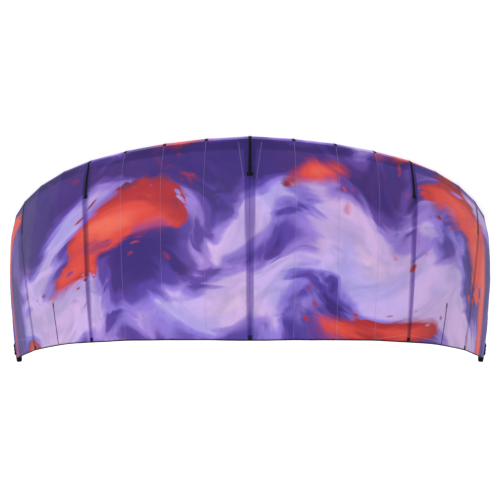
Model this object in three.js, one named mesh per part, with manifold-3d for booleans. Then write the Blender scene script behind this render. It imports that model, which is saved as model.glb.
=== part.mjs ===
// An inflatable kitesurfing kite, parked on its leading edge as riders leave it on the beach.
//
// The leading-edge tube lies on the ground in a wide curve. The canopy stands up from it like a
// leaning, curved wall, with its convex top side to the front (-Y) and its trailing edge uppermost.
// Five inflated struts run up the hollow inner side (+Y). The kite is the same on both sides of X = 0.
// The origin is on the ground, under the middle of the kite's box. All sizes are in millimetres.

import * as THREE from "three";
import Module from "manifold-3d";
import { mergeVertices } from "three/addons/utils/BufferGeometryUtils.js";

const wasm = await Module();
wasm.setup();

// Driving dimensions

const PIECE_GAP = 0.3; // between pieces that touch on the real kite
const TUBE_SIDES = 20;
const STRUT_SIDES = 12;
const GROUND_FLAT = 3; // how far the inflated tube is pressed flat where it rests
const MIDDLE_RADIUS = 74; // leading-edge tube at the middle of the kite

// The leading-edge tube is sewn from cut panels, each bent a little from the one before. A row is one
// panel, from the middle outwards. Its heading is the angle from straight sideways towards the back,
// its climb the angle off the ground, and its radius the tube's at the panel's outer end.
const TUBE_PANELS = [
  { length: 353, heading: 8, climb: 0, radius: 73 },
  { length: 355, heading: 15, climb: 0, radius: 71 },
  { length: 359, heading: 22.5, climb: 0, radius: 68.5 },
  { length: 362, heading: 30.5, climb: 0, radius: 65 },
  { length: 330, heading: 41, climb: 0, radius: 61 },
  { length: 368, heading: 51, climb: 0, radius: 56.5 },
  { length: 369, heading: 60.5, climb: 0, radius: 52 },
  { length: 340, heading: 68, climb: 0, radius: 47.5 },
  { length: 308, heading: 74, climb: 13, radius: 43 },
  { length: 430, heading: 81, climb: 30, radius: 38 },
  { length: 475, heading: 88.5, climb: 48, radius: 33 },
  { length: 398, heading: 97, climb: 64, radius: 28 },
];
const GROUND_PANELS = 8; // panels that rest on the ground, counted from the middle

// Where the canopy's trailing edge lies behind each tube joint, up to the outer strut. The chord is
// measured from the tube's axis, the lean is the angle from upright towards the back, and the toe the
// angle inwards. The crown is the canopy's rise over a straight line from the tube to the edge.
const CHORDS = [
  { chord: 1612, lean: 23, toe: 0, crown: 84 },
  { chord: 1593, lean: 23.1, toe: -0.4, crown: 88 },
  { chord: 1568, lean: 23.4, toe: -1, crown: 86 },
  { chord: 1533, lean: 24, toe: -1.1, crown: 74 },
  { chord: 1497, lean: 25, toe: -1, crown: 52 },
  { chord: 1449, lean: 26, toe: 0, crown: 62 },
  { chord: 1395, lean: 27, toe: 1.1, crown: 58 },
  { chord: 1334, lean: 28, toe: 1.3, crown: 46 },
];
// Past the outer strut the trailing edge runs straight to the tube's end, and only the crown is given.
const TIP_CROWNS = [42, 34, 22, 12, 2];
const TIP_EDGE_INSET = 50; // from the tube's axis to the trailing edge's outer end

const CANOPY_THICKNESS = 2;
const CANOPY_LIFT = 0.7; // clearance of the canopy's inner face over the tube
const SEAM_ANGLE = 48; // where the canopy is sewn to the tube, in degrees up from the tube's front
const CROWN_PLACE = 0.25; // highest point of the crown, as a share of the way to the trailing edge
const ARC_STEPS = 2; // rows over the tube
const RISE_STEPS = 4; // rows from the tube to the crown
const FALL_STEPS = 6; // rows from the crown to the trailing edge
const COLUMNS_PER_PANEL = 2; // columns of the canopy for each tube panel
const COLUMN = 1 / COLUMNS_PER_PANEL;

// Canopy cloths, by the tube joints at their two side seams.
const CANOPY_CLOTHS = [
  { from: 0, to: 1, name: "canopy_1" },
  { from: 1, to: 2, name: "canopy_2" },
  { from: 2, to: 3, name: "canopy_3" },
  { from: 3, to: 4, name: "canopy_4" },
  { from: 4, to: 7, name: "canopy_5" },
  { from: 7, to: 12, name: "canopy_tip" },
];

// Struts, by the tube joint that they start from. The radii are at the tube and at the trailing edge.
const STRUTS = [
  { joint: 0, name: "centre", front: 41, back: 22, patch: 320, patchWidth: 32, footWidth: 54 },
  { joint: 4, name: "inner", front: 29, back: 16, patch: 315, patchWidth: 36, footWidth: 46 },
  { joint: 7, name: "outer", front: 25, back: 14, patch: 305, patchWidth: 28, footWidth: 36 },
];
const STRUT_DROP = 0.5; // clearance of a strut under the canopy
const STRUT_CAP_LENGTH = 36;
const STRUT_CAP_END = 0.6; // radius of the cap's end, as a share of its base

const PATCH_THICKNESS = 1.2; // reinforcement sewn on the canopy over each strut
const PATCH_FRONT_WIDTH = 22;
const PATCH_FOOT_LENGTH = 26;

const BINDING_HEIGHT = 9;
const BINDING_THICKNESS = 3;
const BINDING_CLEARANCE = 0.5; // behind the canopy's edge

const BATTEN_PLACE = 5.5; // in tube joints from the middle
const BATTEN_LENGTH = 345;
const BATTEN_WIDTH = 12;
const BATTEN_THICKNESS = 2;

const TUBE_CAP_LENGTH = 42;
const TUBE_CAP_END = 0.72;
const WEBBING_LENGTH = 120;
const WEBBING_WIDTH = 18;
const WEBBING_THICKNESS = 3;
const WEBBING_FROM_END = 30;
const WEBBING_BEHIND = 13; // its middle's distance behind the line where the canopy leaves the tube

const COLOURS = {
  tube: { color: 0xb49ddc, roughness: 0.62, metalness: 0 },
  canopy: { color: 0x8465b8, roughness: 0.55, metalness: 0 },
  strut: { color: 0x9b86c9, roughness: 0.62, metalness: 0 },
  black: { color: 0x17151c, roughness: 0.7, metalness: 0 },
};

// Vectors

const vec = (x, y, z) => new THREE.Vector3(x, y, z);
const along = (point, direction, distance) => point.clone().addScaledVector(direction, distance);
const between = (a, b, share) => a.clone().lerp(b, share);
const unitFrom = (a, b) => b.clone().sub(a).normalize();
const cross = (a, b) => a.clone().cross(b);
const mirrored = (point) => vec(-point.x, point.y, point.z);
const radians = THREE.MathUtils.degToRad;

// Solids

// A closed body from its corners and triangles, turned so that its faces point outwards.
function body(corners, triangles) {
  let volume = 0;
  for (const [a, b, c] of triangles) {
    volume += corners[a].dot(cross(corners[b], corners[c]));
  }
  const outward = volume > 0 ? triangles : triangles.map(([a, b, c]) => [a, c, b]);
  const geometry = new THREE.BufferGeometry();
  const positions = corners.flatMap((corner) => corner.toArray());
  geometry.setAttribute("position", new THREE.Float32BufferAttribute(positions, 3));
  geometry.setIndex(outward.flat());
  return geometry;
}

// A tube-like body through rings that all have the same number of points, closed at both ends.
function loft(rings) {
  const sides = rings[0].length;
  const corners = rings.flat();
  const triangles = [];
  for (let ring = 0; ring + 1 < rings.length; ring += 1) {
    for (let side = 0; side < sides; side += 1) {
      const a = ring * sides + side;
      const b = ring * sides + ((side + 1) % sides);
      triangles.push([a, b, b + sides], [a, b + sides, a + sides]);
    }
  }
  const last = (rings.length - 1) * sides;
  for (let side = 1; side + 1 < sides; side += 1) {
    triangles.push([0, side + 1, side], [last, last + side, last + side + 1]);
  }
  return body(corners, triangles);
}

// A thin body between two grids of points, rows by columns, closed around its rim.
function sheet(inner, outer) {
  const rows = inner.length;
  const columns = inner[0].length;
  const corners = [...inner.flat(), ...outer.flat()];
  const top = rows * columns;
  const at = (row, column) => row * columns + column;
  const triangles = [];
  for (let row = 0; row + 1 < rows; row += 1) {
    for (let column = 0; column + 1 < columns; column += 1) {
      const a = at(row, column);
      const b = at(row, column + 1);
      const c = at(row + 1, column + 1);
      const d = at(row + 1, column);
      triangles.push([a, c, b], [a, d, c]);
      triangles.push([top + a, top + b, top + c], [top + a, top + c, top + d]);
    }
  }
  const rim = [];
  for (let column = 0; column + 1 < columns; column += 1) rim.push(at(0, column));
  for (let row = 0; row + 1 < rows; row += 1) rim.push(at(row, columns - 1));
  for (let column = columns - 1; column > 0; column -= 1) rim.push(at(rows - 1, column));
  for (let row = rows - 1; row > 0; row -= 1) rim.push(at(row, 0));
  rim.forEach((a, place) => {
    const b = rim[(place + 1) % rim.length];
    triangles.push([a, b, top + b], [a, top + b, top + a]);
  });
  return body(corners, triangles);
}

function toSolid(geometry) {
  const bare = new THREE.BufferGeometry();
  bare.setAttribute("position", geometry.getAttribute("position").clone());
  bare.setIndex(geometry.index.clone());
  const merged = mergeVertices(bare, 1e-4);
  return new wasm.Manifold(
    new wasm.Mesh({
      numProp: 3,
      vertProperties: new Float32Array(merged.getAttribute("position").array),
      triVerts: new Uint32Array(merged.index.array),
    }),
  );
}

function toGeometry(solid) {
  const mesh = solid.getMesh();
  const geometry = new THREE.BufferGeometry();
  geometry.setAttribute("position", new THREE.Float32BufferAttribute(mesh.vertProperties, 3));
  geometry.setIndex(Array.from(mesh.triVerts));
  return geometry;
}

// The same body on the other side of X = 0.
function mirrorBody(geometry) {
  const copy = geometry.clone();
  copy.scale(-1, 1, 1);
  const order = copy.index.array;
  for (let corner = 0; corner < order.length; corner += 3) {
    const second = order[corner + 1];
    order[corner + 1] = order[corner + 2];
    order[corner + 2] = second;
  }
  return copy;
}

// Joints of the leading-edge tube: axis points, panel directions and radii on the +X side

const panelDirections = TUBE_PANELS.map(({ heading, climb }) => {
  const level = Math.cos(radians(climb));
  return vec(
    level * Math.cos(radians(heading)),
    level * Math.sin(radians(heading)),
    Math.sin(radians(climb)),
  );
});
const radii = [MIDDLE_RADIUS, ...TUBE_PANELS.map((panel) => panel.radius)];
const axis = [vec(0, 0, MIDDLE_RADIUS - GROUND_FLAT)];
TUBE_PANELS.forEach((panel, index) => {
  const end = along(axis[index], panelDirections[index], panel.length);
  if (index < GROUND_PANELS) end.z = panel.radius - GROUND_FLAT;
  axis.push(end);
});
const directions = TUBE_PANELS.map((panel, index) => unitFrom(axis[index], axis[index + 1]));
const LAST_JOINT = TUBE_PANELS.length;

// Ends of the canopy's chords on the trailing edge

const edge = CHORDS.map(({ chord, lean, toe }, joint) => {
  const upright = Math.cos(radians(toe));
  const direction = vec(
    -Math.sin(radians(toe)),
    upright * Math.sin(radians(lean)),
    upright * Math.cos(radians(lean)),
  );
  return along(axis[joint], direction, chord);
});
const crowns = [...CHORDS.map((row) => row.crown), ...TIP_CROWNS];
const outerStrutEdge = edge[edge.length - 1];
function addTipEdge(corner) {
  const inset = TIP_EDGE_INSET / outerStrutEdge.distanceTo(corner);
  TIP_CROWNS.forEach((crown, index) => {
    const share = ((index + 1) / TIP_CROWNS.length) * (1 - inset);
    edge[CHORDS.length + index] = between(outerStrutEdge, corner, share);
  });
}
addTipEdge(axis[LAST_JOINT]);

// Each joint's own directions: along the tube, out of the canopy's top side, and to the tube's front.
const frames = axis.map((point, joint) => {
  const before = joint === 0 ? mirrored(directions[0]).negate() : directions[joint - 1];
  const after = joint === LAST_JOINT ? before : directions[joint];
  const span = before.clone().add(after).normalize();
  const top = cross(span, edge[joint].clone().sub(point)).normalize();
  const front = cross(span, top);
  return { span, top, front };
});
// The edge's outer end comes off the top of the tube, not off its axis.
addTipEdge(along(axis[LAST_JOINT], frames[LAST_JOINT].top, radii[LAST_JOINT]));

// A point of the tube's surface at a joint. The cut there is a mitre, so the ring is a slight oval.
function ringPoint(joint, degrees, growth) {
  const { top, front } = frames[joint];
  const turn = radians(degrees);
  const outward = front.clone().multiplyScalar(Math.cos(turn)).addScaledVector(top, Math.sin(turn));
  const panel = directions[Math.min(joint, LAST_JOINT - 1)];
  const slant = outward.dot(panel);
  return along(axis[joint], outward, (radii[joint] + growth) / Math.sqrt(1 - slant * slant));
}

function tubePanel(index, growth, gap) {
  const rings = [0, 1].map((end) => {
    const shift = end === 0 ? gap / 2 : -gap / 2;
    const points = [];
    for (let side = 0; side < TUBE_SIDES; side += 1) {
      const point = ringPoint(index + end, (360 * side) / TUBE_SIDES, growth);
      points.push(along(point, directions[index], shift));
    }
    return points;
  });
  return loft(rings);
}

// The canopy's profile at a joint, from the seam on the tube to the trailing edge: an arc over the
// tube, a parabola up to the crown, and a parabola down to the edge.
function profile(joint) {
  const { span, top } = frames[joint];
  const back = edge[joint];
  const across = back.clone().sub(axis[joint]);
  const level = Math.sqrt(across.lengthSq() - across.dot(span) ** 2);
  const climb = Math.atan((2 * crowns[joint]) / (CROWN_PLACE * level));
  const fall = Math.atan((radii[joint] - across.dot(top)) / level);
  const leave = 90 - THREE.MathUtils.radToDeg(climb - fall);
  const points = [];
  for (let step = 0; step <= ARC_STEPS; step += 1) {
    const degrees = THREE.MathUtils.lerp(SEAM_ANGLE, leave, step / ARC_STEPS);
    points.push(ringPoint(joint, degrees, CANOPY_LIFT));
  }
  const shoulder = points[ARC_STEPS];
  const line = unitFrom(shoulder, back);
  const length = shoulder.distanceTo(back);
  const rise = along(top, line, -top.dot(line)).normalize();
  const crown = along(along(shoulder, line, CROWN_PLACE * length), rise, crowns[joint]);
  const riseBend = along(crown, line, (-CROWN_PLACE * length) / 2);
  const fallBend = along(crown, line, ((1 - CROWN_PLACE) * length) / 2);
  const up = new THREE.QuadraticBezierCurve3(shoulder, riseBend, crown);
  const down = new THREE.QuadraticBezierCurve3(crown, fallBend, back);
  for (let step = 1; step <= RISE_STEPS; step += 1) points.push(up.getPoint(step / RISE_STEPS));
  for (let step = 1; step <= FALL_STEPS; step += 1) points.push(down.getPoint(step / FALL_STEPS));
  return points;
}

const profiles = axis.map((point, joint) => profile(joint));
const LAST_ROW = ARC_STEPS + RISE_STEPS + FALL_STEPS;

// The canopy's inner face between joints. Over the tube it is straight from joint to joint, as the
// tube is, and it becomes a smooth curve by the crown. A place of 2.5 is halfway from joint 2 to 3.
function clothPoint(place, row) {
  if (place < 0) return mirrored(clothPoint(-place, row));
  const joint = Math.min(Math.floor(place), LAST_JOINT - 1);
  const share = place - joint;
  const near = profiles[joint][row];
  const far = profiles[joint + 1][row];
  const before = joint === 0 ? mirrored(profiles[1][row]) : profiles[joint - 1][row];
  const after =
    joint + 2 > LAST_JOINT ? along(far, far.clone().sub(near), 1) : profiles[joint + 2][row];
  const curve = new THREE.CatmullRomCurve3([before, near, far, after], false, "catmullrom", 0.5);
  const smooth = curve.getPoint((1 + share) / 3);
  const ease = THREE.MathUtils.smoothstep(row, ARC_STEPS, ARC_STEPS + RISE_STEPS);
  return between(between(near, far, share), smooth, ease);
}

// At the tube's end the rows bunch together, so the tube's own top direction serves there.
function clothNormal(place, row) {
  if (place === LAST_JOINT) return frames[LAST_JOINT].top.clone();
  const step = 0.25;
  const right = Math.min(place + step, LAST_JOINT);
  const spanwise = clothPoint(right, row).sub(clothPoint(place - step, row));
  const back = clothPoint(place, Math.min(row + 1, LAST_ROW));
  const chordwise = back.sub(clothPoint(place, Math.max(row - 1, 0)));
  return cross(spanwise, chordwise).normalize();
}

// Canopy cloths

function canopyCloth({ from, to }) {
  const columns = (to - from) * COLUMNS_PER_PANEL;
  const inner = [];
  const outer = [];
  for (let row = 0; row <= LAST_ROW; row += 1) {
    const under = [];
    const over = [];
    for (let column = 0; column <= columns; column += 1) {
      const place = from + column * COLUMN;
      const point = clothPoint(place, row);
      const normal = clothNormal(place, row);
      if (column === 0) {
        point.addScaledVector(unitFrom(point, clothPoint(place + COLUMN, row)), PIECE_GAP / 2);
      }
      if (column === columns) {
        point.addScaledVector(unitFrom(point, clothPoint(place - COLUMN, row)), PIECE_GAP / 2);
      }
      under.push(point);
      over.push(along(point, normal, CANOPY_THICKNESS));
    }
    inner.push(under);
    outer.push(over);
  }
  return sheet(inner, outer);
}

// A line on the canopy at one place across the span, from row to row, with its own directions.
function clothLine(place, firstRow) {
  const stops = [];
  for (let row = firstRow; row <= LAST_ROW; row += 1) {
    const point = clothPoint(place, row);
    const normal = clothNormal(place, row);
    const ahead = clothPoint(place, Math.min(row + 1, LAST_ROW));
    const chordwise = unitFrom(clothPoint(place, Math.max(row - 1, 0)), ahead);
    stops.push({ point, normal, side: cross(chordwise, normal), distance: 0 });
  }
  for (let stop = 1; stop < stops.length; stop += 1) {
    stops[stop].distance = stops[stop - 1].distance + stops[stop].point.distanceTo(stops[stop - 1].point);
  }
  return stops;
}

// The part of such a line between two distances, with a stop added at each end of the part.
function linePart(stops, start, end) {
  const stopAt = (distance) => {
    const next = stops.findIndex((stop) => stop.distance >= distance - 1e-6);
    const far = stops[Math.max(next, 1)];
    const near = stops[Math.max(next, 1) - 1];
    const share = (distance - near.distance) / (far.distance - near.distance);
    return {
      point: between(near.point, far.point, share),
      normal: between(near.normal, far.normal, share).normalize(),
      side: between(near.side, far.side, share).normalize(),
      distance,
    };
  };
  const inside = stops.filter((stop) => stop.distance > start + 1 && stop.distance < end - 1);
  return [stopAt(start), ...inside, stopAt(end)];
}

// Struts and their end caps

function strutRing({ point, normal, side }, radius, drop) {
  const centre = along(point, normal, -(radius + drop));
  const ring = [];
  for (let corner = 0; corner < STRUT_SIDES; corner += 1) {
    const turn = (2 * Math.PI * corner) / STRUT_SIDES;
    ring.push(along(along(centre, normal, radius * Math.cos(turn)), side, radius * Math.sin(turn)));
  }
  return ring;
}

function strut({ joint, front, back }) {
  const line = clothLine(joint, ARC_STEPS);
  const length = line[line.length - 1].distance;
  const tubeEnd = length - STRUT_CAP_LENGTH;
  const radiusAt = (distance) => THREE.MathUtils.lerp(front, back, distance / length);
  const rings = linePart(line, 0, tubeEnd).map((stop) =>
    strutRing(stop, radiusAt(stop.distance), STRUT_DROP),
  );
  let solid = toSolid(loft(rings));
  const beside = tubePanel(joint, PIECE_GAP, -1);
  const otherSide = joint === 0 ? mirrorBody(beside) : tubePanel(joint - 1, PIECE_GAP, -1);
  for (const tube of [beside, otherSide]) solid = solid.subtract(toSolid(tube));
  // Only the strut itself is kept, not slivers left on the far side of the tube.
  const pieces = solid.decompose().sort((a, b) => b.volume() - a.volume());
  return toGeometry(pieces[0]);
}

function strutCap({ joint, front, back }) {
  const line = clothLine(joint, ARC_STEPS);
  const length = line[line.length - 1].distance;
  const start = length - STRUT_CAP_LENGTH;
  const radius = THREE.MathUtils.lerp(front, back, start / length);
  const stops = linePart(line, start + PIECE_GAP, length - 1);
  const base = stops[0];
  const end = stops[stops.length - 1];
  const middle = linePart(line, start + STRUT_CAP_LENGTH / 2, length - 1)[0];
  const rings = [
    strutRing(base, radius, STRUT_DROP),
    strutRing(middle, radius * 0.94, STRUT_DROP + radius * 0.06),
    strutRing(end, radius * STRUT_CAP_END, STRUT_DROP + radius * (1 - STRUT_CAP_END)),
  ];
  return loft(rings);
}

// A strip of the given widths that lies on the canopy's top side
function strip(stops, widthAt, thickness) {
  const rows = stops.map((stop) => {
    const middle = along(stop.point, stop.normal, CANOPY_THICKNESS + PIECE_GAP + 0.2);
    const half = widthAt(stop.distance) / 2;
    return [-half, 0, half].map((offset) => along(middle, stop.side, offset));
  });
  const raised = rows.map((row, index) =>
    row.map((point) => along(point, stops[index].normal, thickness)),
  );
  return sheet(rows, raised);
}

// Reinforcement patch over a strut, from the seam on the tube back to a wider foot
function patch({ joint, patch: length, patchWidth, footWidth }) {
  const line = clothLine(joint, 0);
  const footStart = length - PATCH_FOOT_LENGTH;
  const stops = [...linePart(line, 0, footStart), ...linePart(line, footStart + 6, length)];
  const widthAt = (distance) => {
    if (distance > footStart + 1) return footWidth;
    return THREE.MathUtils.lerp(PATCH_FRONT_WIDTH, patchWidth, distance / footStart);
  };
  return strip(stops, widthAt, PATCH_THICKNESS);
}

function batten() {
  const line = clothLine(BATTEN_PLACE, 0);
  const length = line[line.length - 1].distance;
  return strip(linePart(line, length - BATTEN_LENGTH, length - 4), () => BATTEN_WIDTH, BATTEN_THICKNESS);
}

// Binding along the whole trailing edge, a narrow tape behind the canopy's last row
function binding() {
  const steps = LAST_JOINT * COLUMNS_PER_PANEL;
  const rings = [];
  for (let step = -steps; step <= steps; step += 1) {
    const place = Math.abs(step) * COLUMN;
    const point = clothPoint(place, LAST_ROW);
    const normal = clothNormal(place, LAST_ROW);
    const ahead = clothPoint(Math.min(place + COLUMN, LAST_JOINT), LAST_ROW);
    const edgeLine = unitFrom(clothPoint(place - COLUMN, LAST_ROW), ahead);
    const backward = cross(normal, edgeLine).normalize();
    const middle = along(point, normal, CANOPY_THICKNESS / 2);
    const corners = [
      [BINDING_CLEARANCE, -BINDING_THICKNESS / 2],
      [BINDING_CLEARANCE + BINDING_HEIGHT, -BINDING_THICKNESS / 2],
      [BINDING_CLEARANCE + BINDING_HEIGHT, BINDING_THICKNESS / 2],
      [BINDING_CLEARANCE, BINDING_THICKNESS / 2],
    ].map(([behind, proud]) => along(along(middle, backward, behind), normal, proud));
    rings.push(step < 0 ? corners.map(mirrored) : corners);
  }
  return loft(rings);
}

// Closed end of the leading-edge tube, and the webbing that the steering line is tied to, sewn on the
// canopy's top side along the tube

function tubeCap() {
  const { span } = frames[LAST_JOINT];
  const centre = axis[LAST_JOINT];
  const shares = [
    { along: PIECE_GAP, width: 1 },
    { along: TUBE_CAP_LENGTH / 2, width: 0.94 },
    { along: TUBE_CAP_LENGTH, width: TUBE_CAP_END },
  ];
  const rings = shares.map((share) => {
    const points = [];
    for (let side = 0; side < STRUT_SIDES; side += 1) {
      const edgePoint = ringPoint(LAST_JOINT, (360 * side) / STRUT_SIDES, 0);
      points.push(along(between(centre, edgePoint, share.width), span, share.along));
    }
    return points;
  });
  return loft(rings);
}

function tipWebbing() {
  const panelLength = axis[LAST_JOINT - 1].distanceTo(axis[LAST_JOINT]);
  const stops = [WEBBING_FROM_END + WEBBING_LENGTH, WEBBING_FROM_END].map((fromEnd) => {
    const place = LAST_JOINT - fromEnd / panelLength;
    const shoulder = clothPoint(place, ARC_STEPS);
    const back = unitFrom(shoulder, clothPoint(place, ARC_STEPS + 1));
    const outward = unitFrom(shoulder, clothPoint(place + COLUMN / 10, ARC_STEPS));
    const normal = cross(outward, back).normalize();
    return { point: along(shoulder, back, WEBBING_BEHIND), normal, side: back, distance: 0 };
  });
  return strip(stops, () => WEBBING_WIDTH, WEBBING_THICKNESS);
}

// The kite, put together

const kite = new THREE.Group();

function place(name, geometry, look) {
  const mesh = new THREE.Mesh(geometry, new THREE.MeshStandardMaterial(look));
  mesh.name = name;
  kite.add(mesh);
}

function placePair(name, geometry, look) {
  place(`${name}_right`, geometry, look);
  place(`${name}_left`, mirrorBody(geometry), look);
}

const GROUND_SIZE = 8000;
const aboveGround = toSolid(
  new THREE.BoxGeometry(GROUND_SIZE, GROUND_SIZE, GROUND_SIZE).translate(0, 0, GROUND_SIZE / 2),
);

TUBE_PANELS.forEach((panel, index) => {
  const whole = toSolid(tubePanel(index, 0, PIECE_GAP));
  placePair(`leading_edge_${index + 1}`, toGeometry(whole.intersect(aboveGround)), COLOURS.tube);
});
placePair("tube_end_cap", tubeCap(), COLOURS.black);
placePair("tip_webbing", tipWebbing(), COLOURS.black);

CANOPY_CLOTHS.forEach((cloth) => placePair(cloth.name, canopyCloth(cloth), COLOURS.canopy));
place("trailing_edge_binding", binding(), COLOURS.black);
placePair("batten", batten(), COLOURS.canopy);

STRUTS.forEach((row) => {
  const pieces = [
    { name: "strut", geometry: strut(row), look: COLOURS.strut },
    { name: "strut_cap", geometry: strutCap(row), look: COLOURS.black },
    { name: "strut_patch", geometry: patch(row), look: COLOURS.black },
  ];
  for (const piece of pieces) {
    const name = `${piece.name}_${row.name}`;
    if (row.joint === 0) place(name, piece.geometry, piece.look);
    else placePair(name, piece.geometry, piece.look);
  }
});

// The origin goes under the middle of the whole kite.
const box = new THREE.Box3().setFromObject(kite);
const centre = box.getCenter(vec(0, 0, 0));
kite.position.set(-centre.x, -centre.y, -box.min.z);

export default kite;
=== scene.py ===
"""The looks of an inflatable kitesurfing kite that is parked on its leading edge.

The sections follow the kite as it is put together: the tube, the canopy, the struts, and the tapes,
patches and webbing that are sewn on. All sizes are in metres, in the frame of the CAD model. The kite's
convex top side faces -Y, its trailing edge is uppermost, and it is the same shape on both sides of X = 0.
"""

import bpy
import numpy as np
from mathutils import Matrix, Vector


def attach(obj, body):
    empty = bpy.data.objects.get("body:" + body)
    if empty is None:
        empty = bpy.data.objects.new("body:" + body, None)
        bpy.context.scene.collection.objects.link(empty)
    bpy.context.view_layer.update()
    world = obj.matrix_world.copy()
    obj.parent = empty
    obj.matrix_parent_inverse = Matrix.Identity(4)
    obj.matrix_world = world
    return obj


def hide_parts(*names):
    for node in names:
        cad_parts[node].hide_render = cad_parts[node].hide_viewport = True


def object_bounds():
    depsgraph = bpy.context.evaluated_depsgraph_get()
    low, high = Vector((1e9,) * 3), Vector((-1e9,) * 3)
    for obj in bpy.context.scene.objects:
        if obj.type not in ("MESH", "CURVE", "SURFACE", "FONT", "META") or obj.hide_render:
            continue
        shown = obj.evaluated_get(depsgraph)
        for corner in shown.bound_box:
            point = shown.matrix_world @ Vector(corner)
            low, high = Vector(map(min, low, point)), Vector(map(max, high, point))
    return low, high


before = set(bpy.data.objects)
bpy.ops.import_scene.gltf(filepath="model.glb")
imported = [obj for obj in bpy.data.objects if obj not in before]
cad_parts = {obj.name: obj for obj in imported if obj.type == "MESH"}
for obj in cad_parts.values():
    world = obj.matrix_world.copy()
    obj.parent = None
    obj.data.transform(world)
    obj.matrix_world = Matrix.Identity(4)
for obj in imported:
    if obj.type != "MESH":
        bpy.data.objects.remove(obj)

cad_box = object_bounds()
scene = bpy.context.scene

# Camera
# The picture is taken square to the canopy from about twelve metres, with the leading edge at the top
# of the frame. The kite stands on that edge here, so the camera looks down at it and is upside down.

CAMERA_TILT = 21.7  # degrees down from level
CAMERA_DISTANCE = 12.0
PICTURE_CENTRE = Vector((0.0, -1.037, 0.876))
LENS = 104.7  # millimetres, for a sensor 36 mm wide

camera = bpy.data.objects.new("camera", bpy.data.cameras.new("camera"))
camera.data.lens = LENS
looking_down = Matrix.Rotation(np.radians(90 - CAMERA_TILT), 4, "X")
upside_down = Matrix.Rotation(np.pi, 4, "Z")
camera_place = PICTURE_CENTRE + looking_down @ Vector((0, 0, CAMERA_DISTANCE))
camera.matrix_world = Matrix.Translation(camera_place) @ looking_down @ upside_down
scene.collection.objects.link(camera)
scene.camera = camera

# Studio
# A wide pale floor that glows a little, a pale sky, and two large soft lamps. One lamp stands behind
# the kite, because the thin canopy lets some light through.

FLOOR_HALF = 60.0
FLOOR_COLOUR = (0.45, 0.45, 0.45, 1)
FLOOR_GLOW = 0.76
SKY_AT_HORIZON = 1.0
SKY_OVERHEAD = 0.62
SKY_FADE = 0.45  # height of a direction, as its Z, at which the sky has faded to its overhead tone
LAMPS = [
    # name, place, power in watts, width
    ("front_lamp", (5.5, -14.0, 10.0), 800, 5.0),
    ("back_lamp", (0.0, 17.0, 10.0), 1300, 9.0),
]
LAMP_TARGET = Vector((0, -0.4, 0.7))


def add_node(tree, kind, inputs=None, **settings):
    """A new node. Each input is a plain value, or the output of another node, which is linked to it."""
    node = tree.nodes.new(kind)
    for name, value in settings.items():
        setattr(node, name, value)
    for key, value in (inputs or {}).items():
        if isinstance(value, bpy.types.NodeSocket):
            tree.links.new(value, node.inputs[key])
        else:
            node.inputs[key].default_value = value
    return node


def stretched(tree, value, low, high, start=0.0, end=1.0):
    """A node's value, moved in a straight line from between start and end to between low and high."""
    inputs = {"Value": value, "From Min": start, "From Max": end, "To Min": low, "To Max": high}
    return add_node(tree, "ShaderNodeMapRange", inputs).outputs[0]


def new_material(name):
    """An empty node material, with its output node."""
    material = bpy.data.materials.new(name)
    material.use_nodes = True
    material.node_tree.nodes.clear()
    return material, material.node_tree, material.node_tree.nodes.new("ShaderNodeOutputMaterial")


def finish_with(tree, output, inputs):
    """One Principled shader with these inputs is the whole material."""
    look = add_node(tree, "ShaderNodeBsdfPrincipled", inputs)
    tree.links.new(look.outputs[0], output.inputs[0])


floor_corners = FLOOR_HALF * np.array([(-1, -1, 0), (1, -1, 0), (1, 1, 0), (-1, 1, 0)])
floor_mesh = bpy.data.meshes.new("floor")
floor_mesh.from_pydata(floor_corners.tolist(), [], [(0, 1, 2, 3)])
floor = bpy.data.objects.new("floor", floor_mesh)
scene.collection.objects.link(floor)
floor_material, floor_tree, floor_output = new_material("floor")
finish_with(
    floor_tree,
    floor_output,
    {
        "Base Color": FLOOR_COLOUR,
        "Roughness": 0.9,
        "Specular IOR Level": 0.1,
        "Emission Color": (1, 1, 1, 1),
        "Emission Strength": FLOOR_GLOW,
    },
)
floor_mesh.materials.append(floor_material)

world = bpy.data.worlds.new("sky")
world.use_nodes = True
direction = add_node(world.node_tree, "ShaderNodeTexCoord").outputs["Generated"]
height = add_node(world.node_tree, "ShaderNodeSeparateXYZ", {0: direction}).outputs[2]
strength = stretched(world.node_tree, height, SKY_AT_HORIZON, SKY_OVERHEAD, end=SKY_FADE)
background = world.node_tree.nodes["Background"]
background.inputs["Color"].default_value = (1, 1, 1, 1)
world.node_tree.links.new(strength, background.inputs["Strength"])
scene.world = world
scene.view_settings.view_transform = "Standard"

for name, lamp_place, power, width in LAMPS:
    lamp_data = bpy.data.lights.new(name, "AREA")
    lamp_data.energy = power
    lamp_data.size = width
    lamp = bpy.data.objects.new(name, lamp_data)
    lamp.location = lamp_place
    lamp.rotation_euler = (LAMP_TARGET - lamp.location).to_track_quat("-Z", "Y").to_euler()
    scene.collection.objects.link(lamp)

# Leading-edge tube
# The kite's backbone is an air tube of heavy polyester cloth, sewn from twelve cut panels a side. It
# is bent a little at each joint, pressed flat where it lies on the ground, and printed like the canopy.

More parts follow.
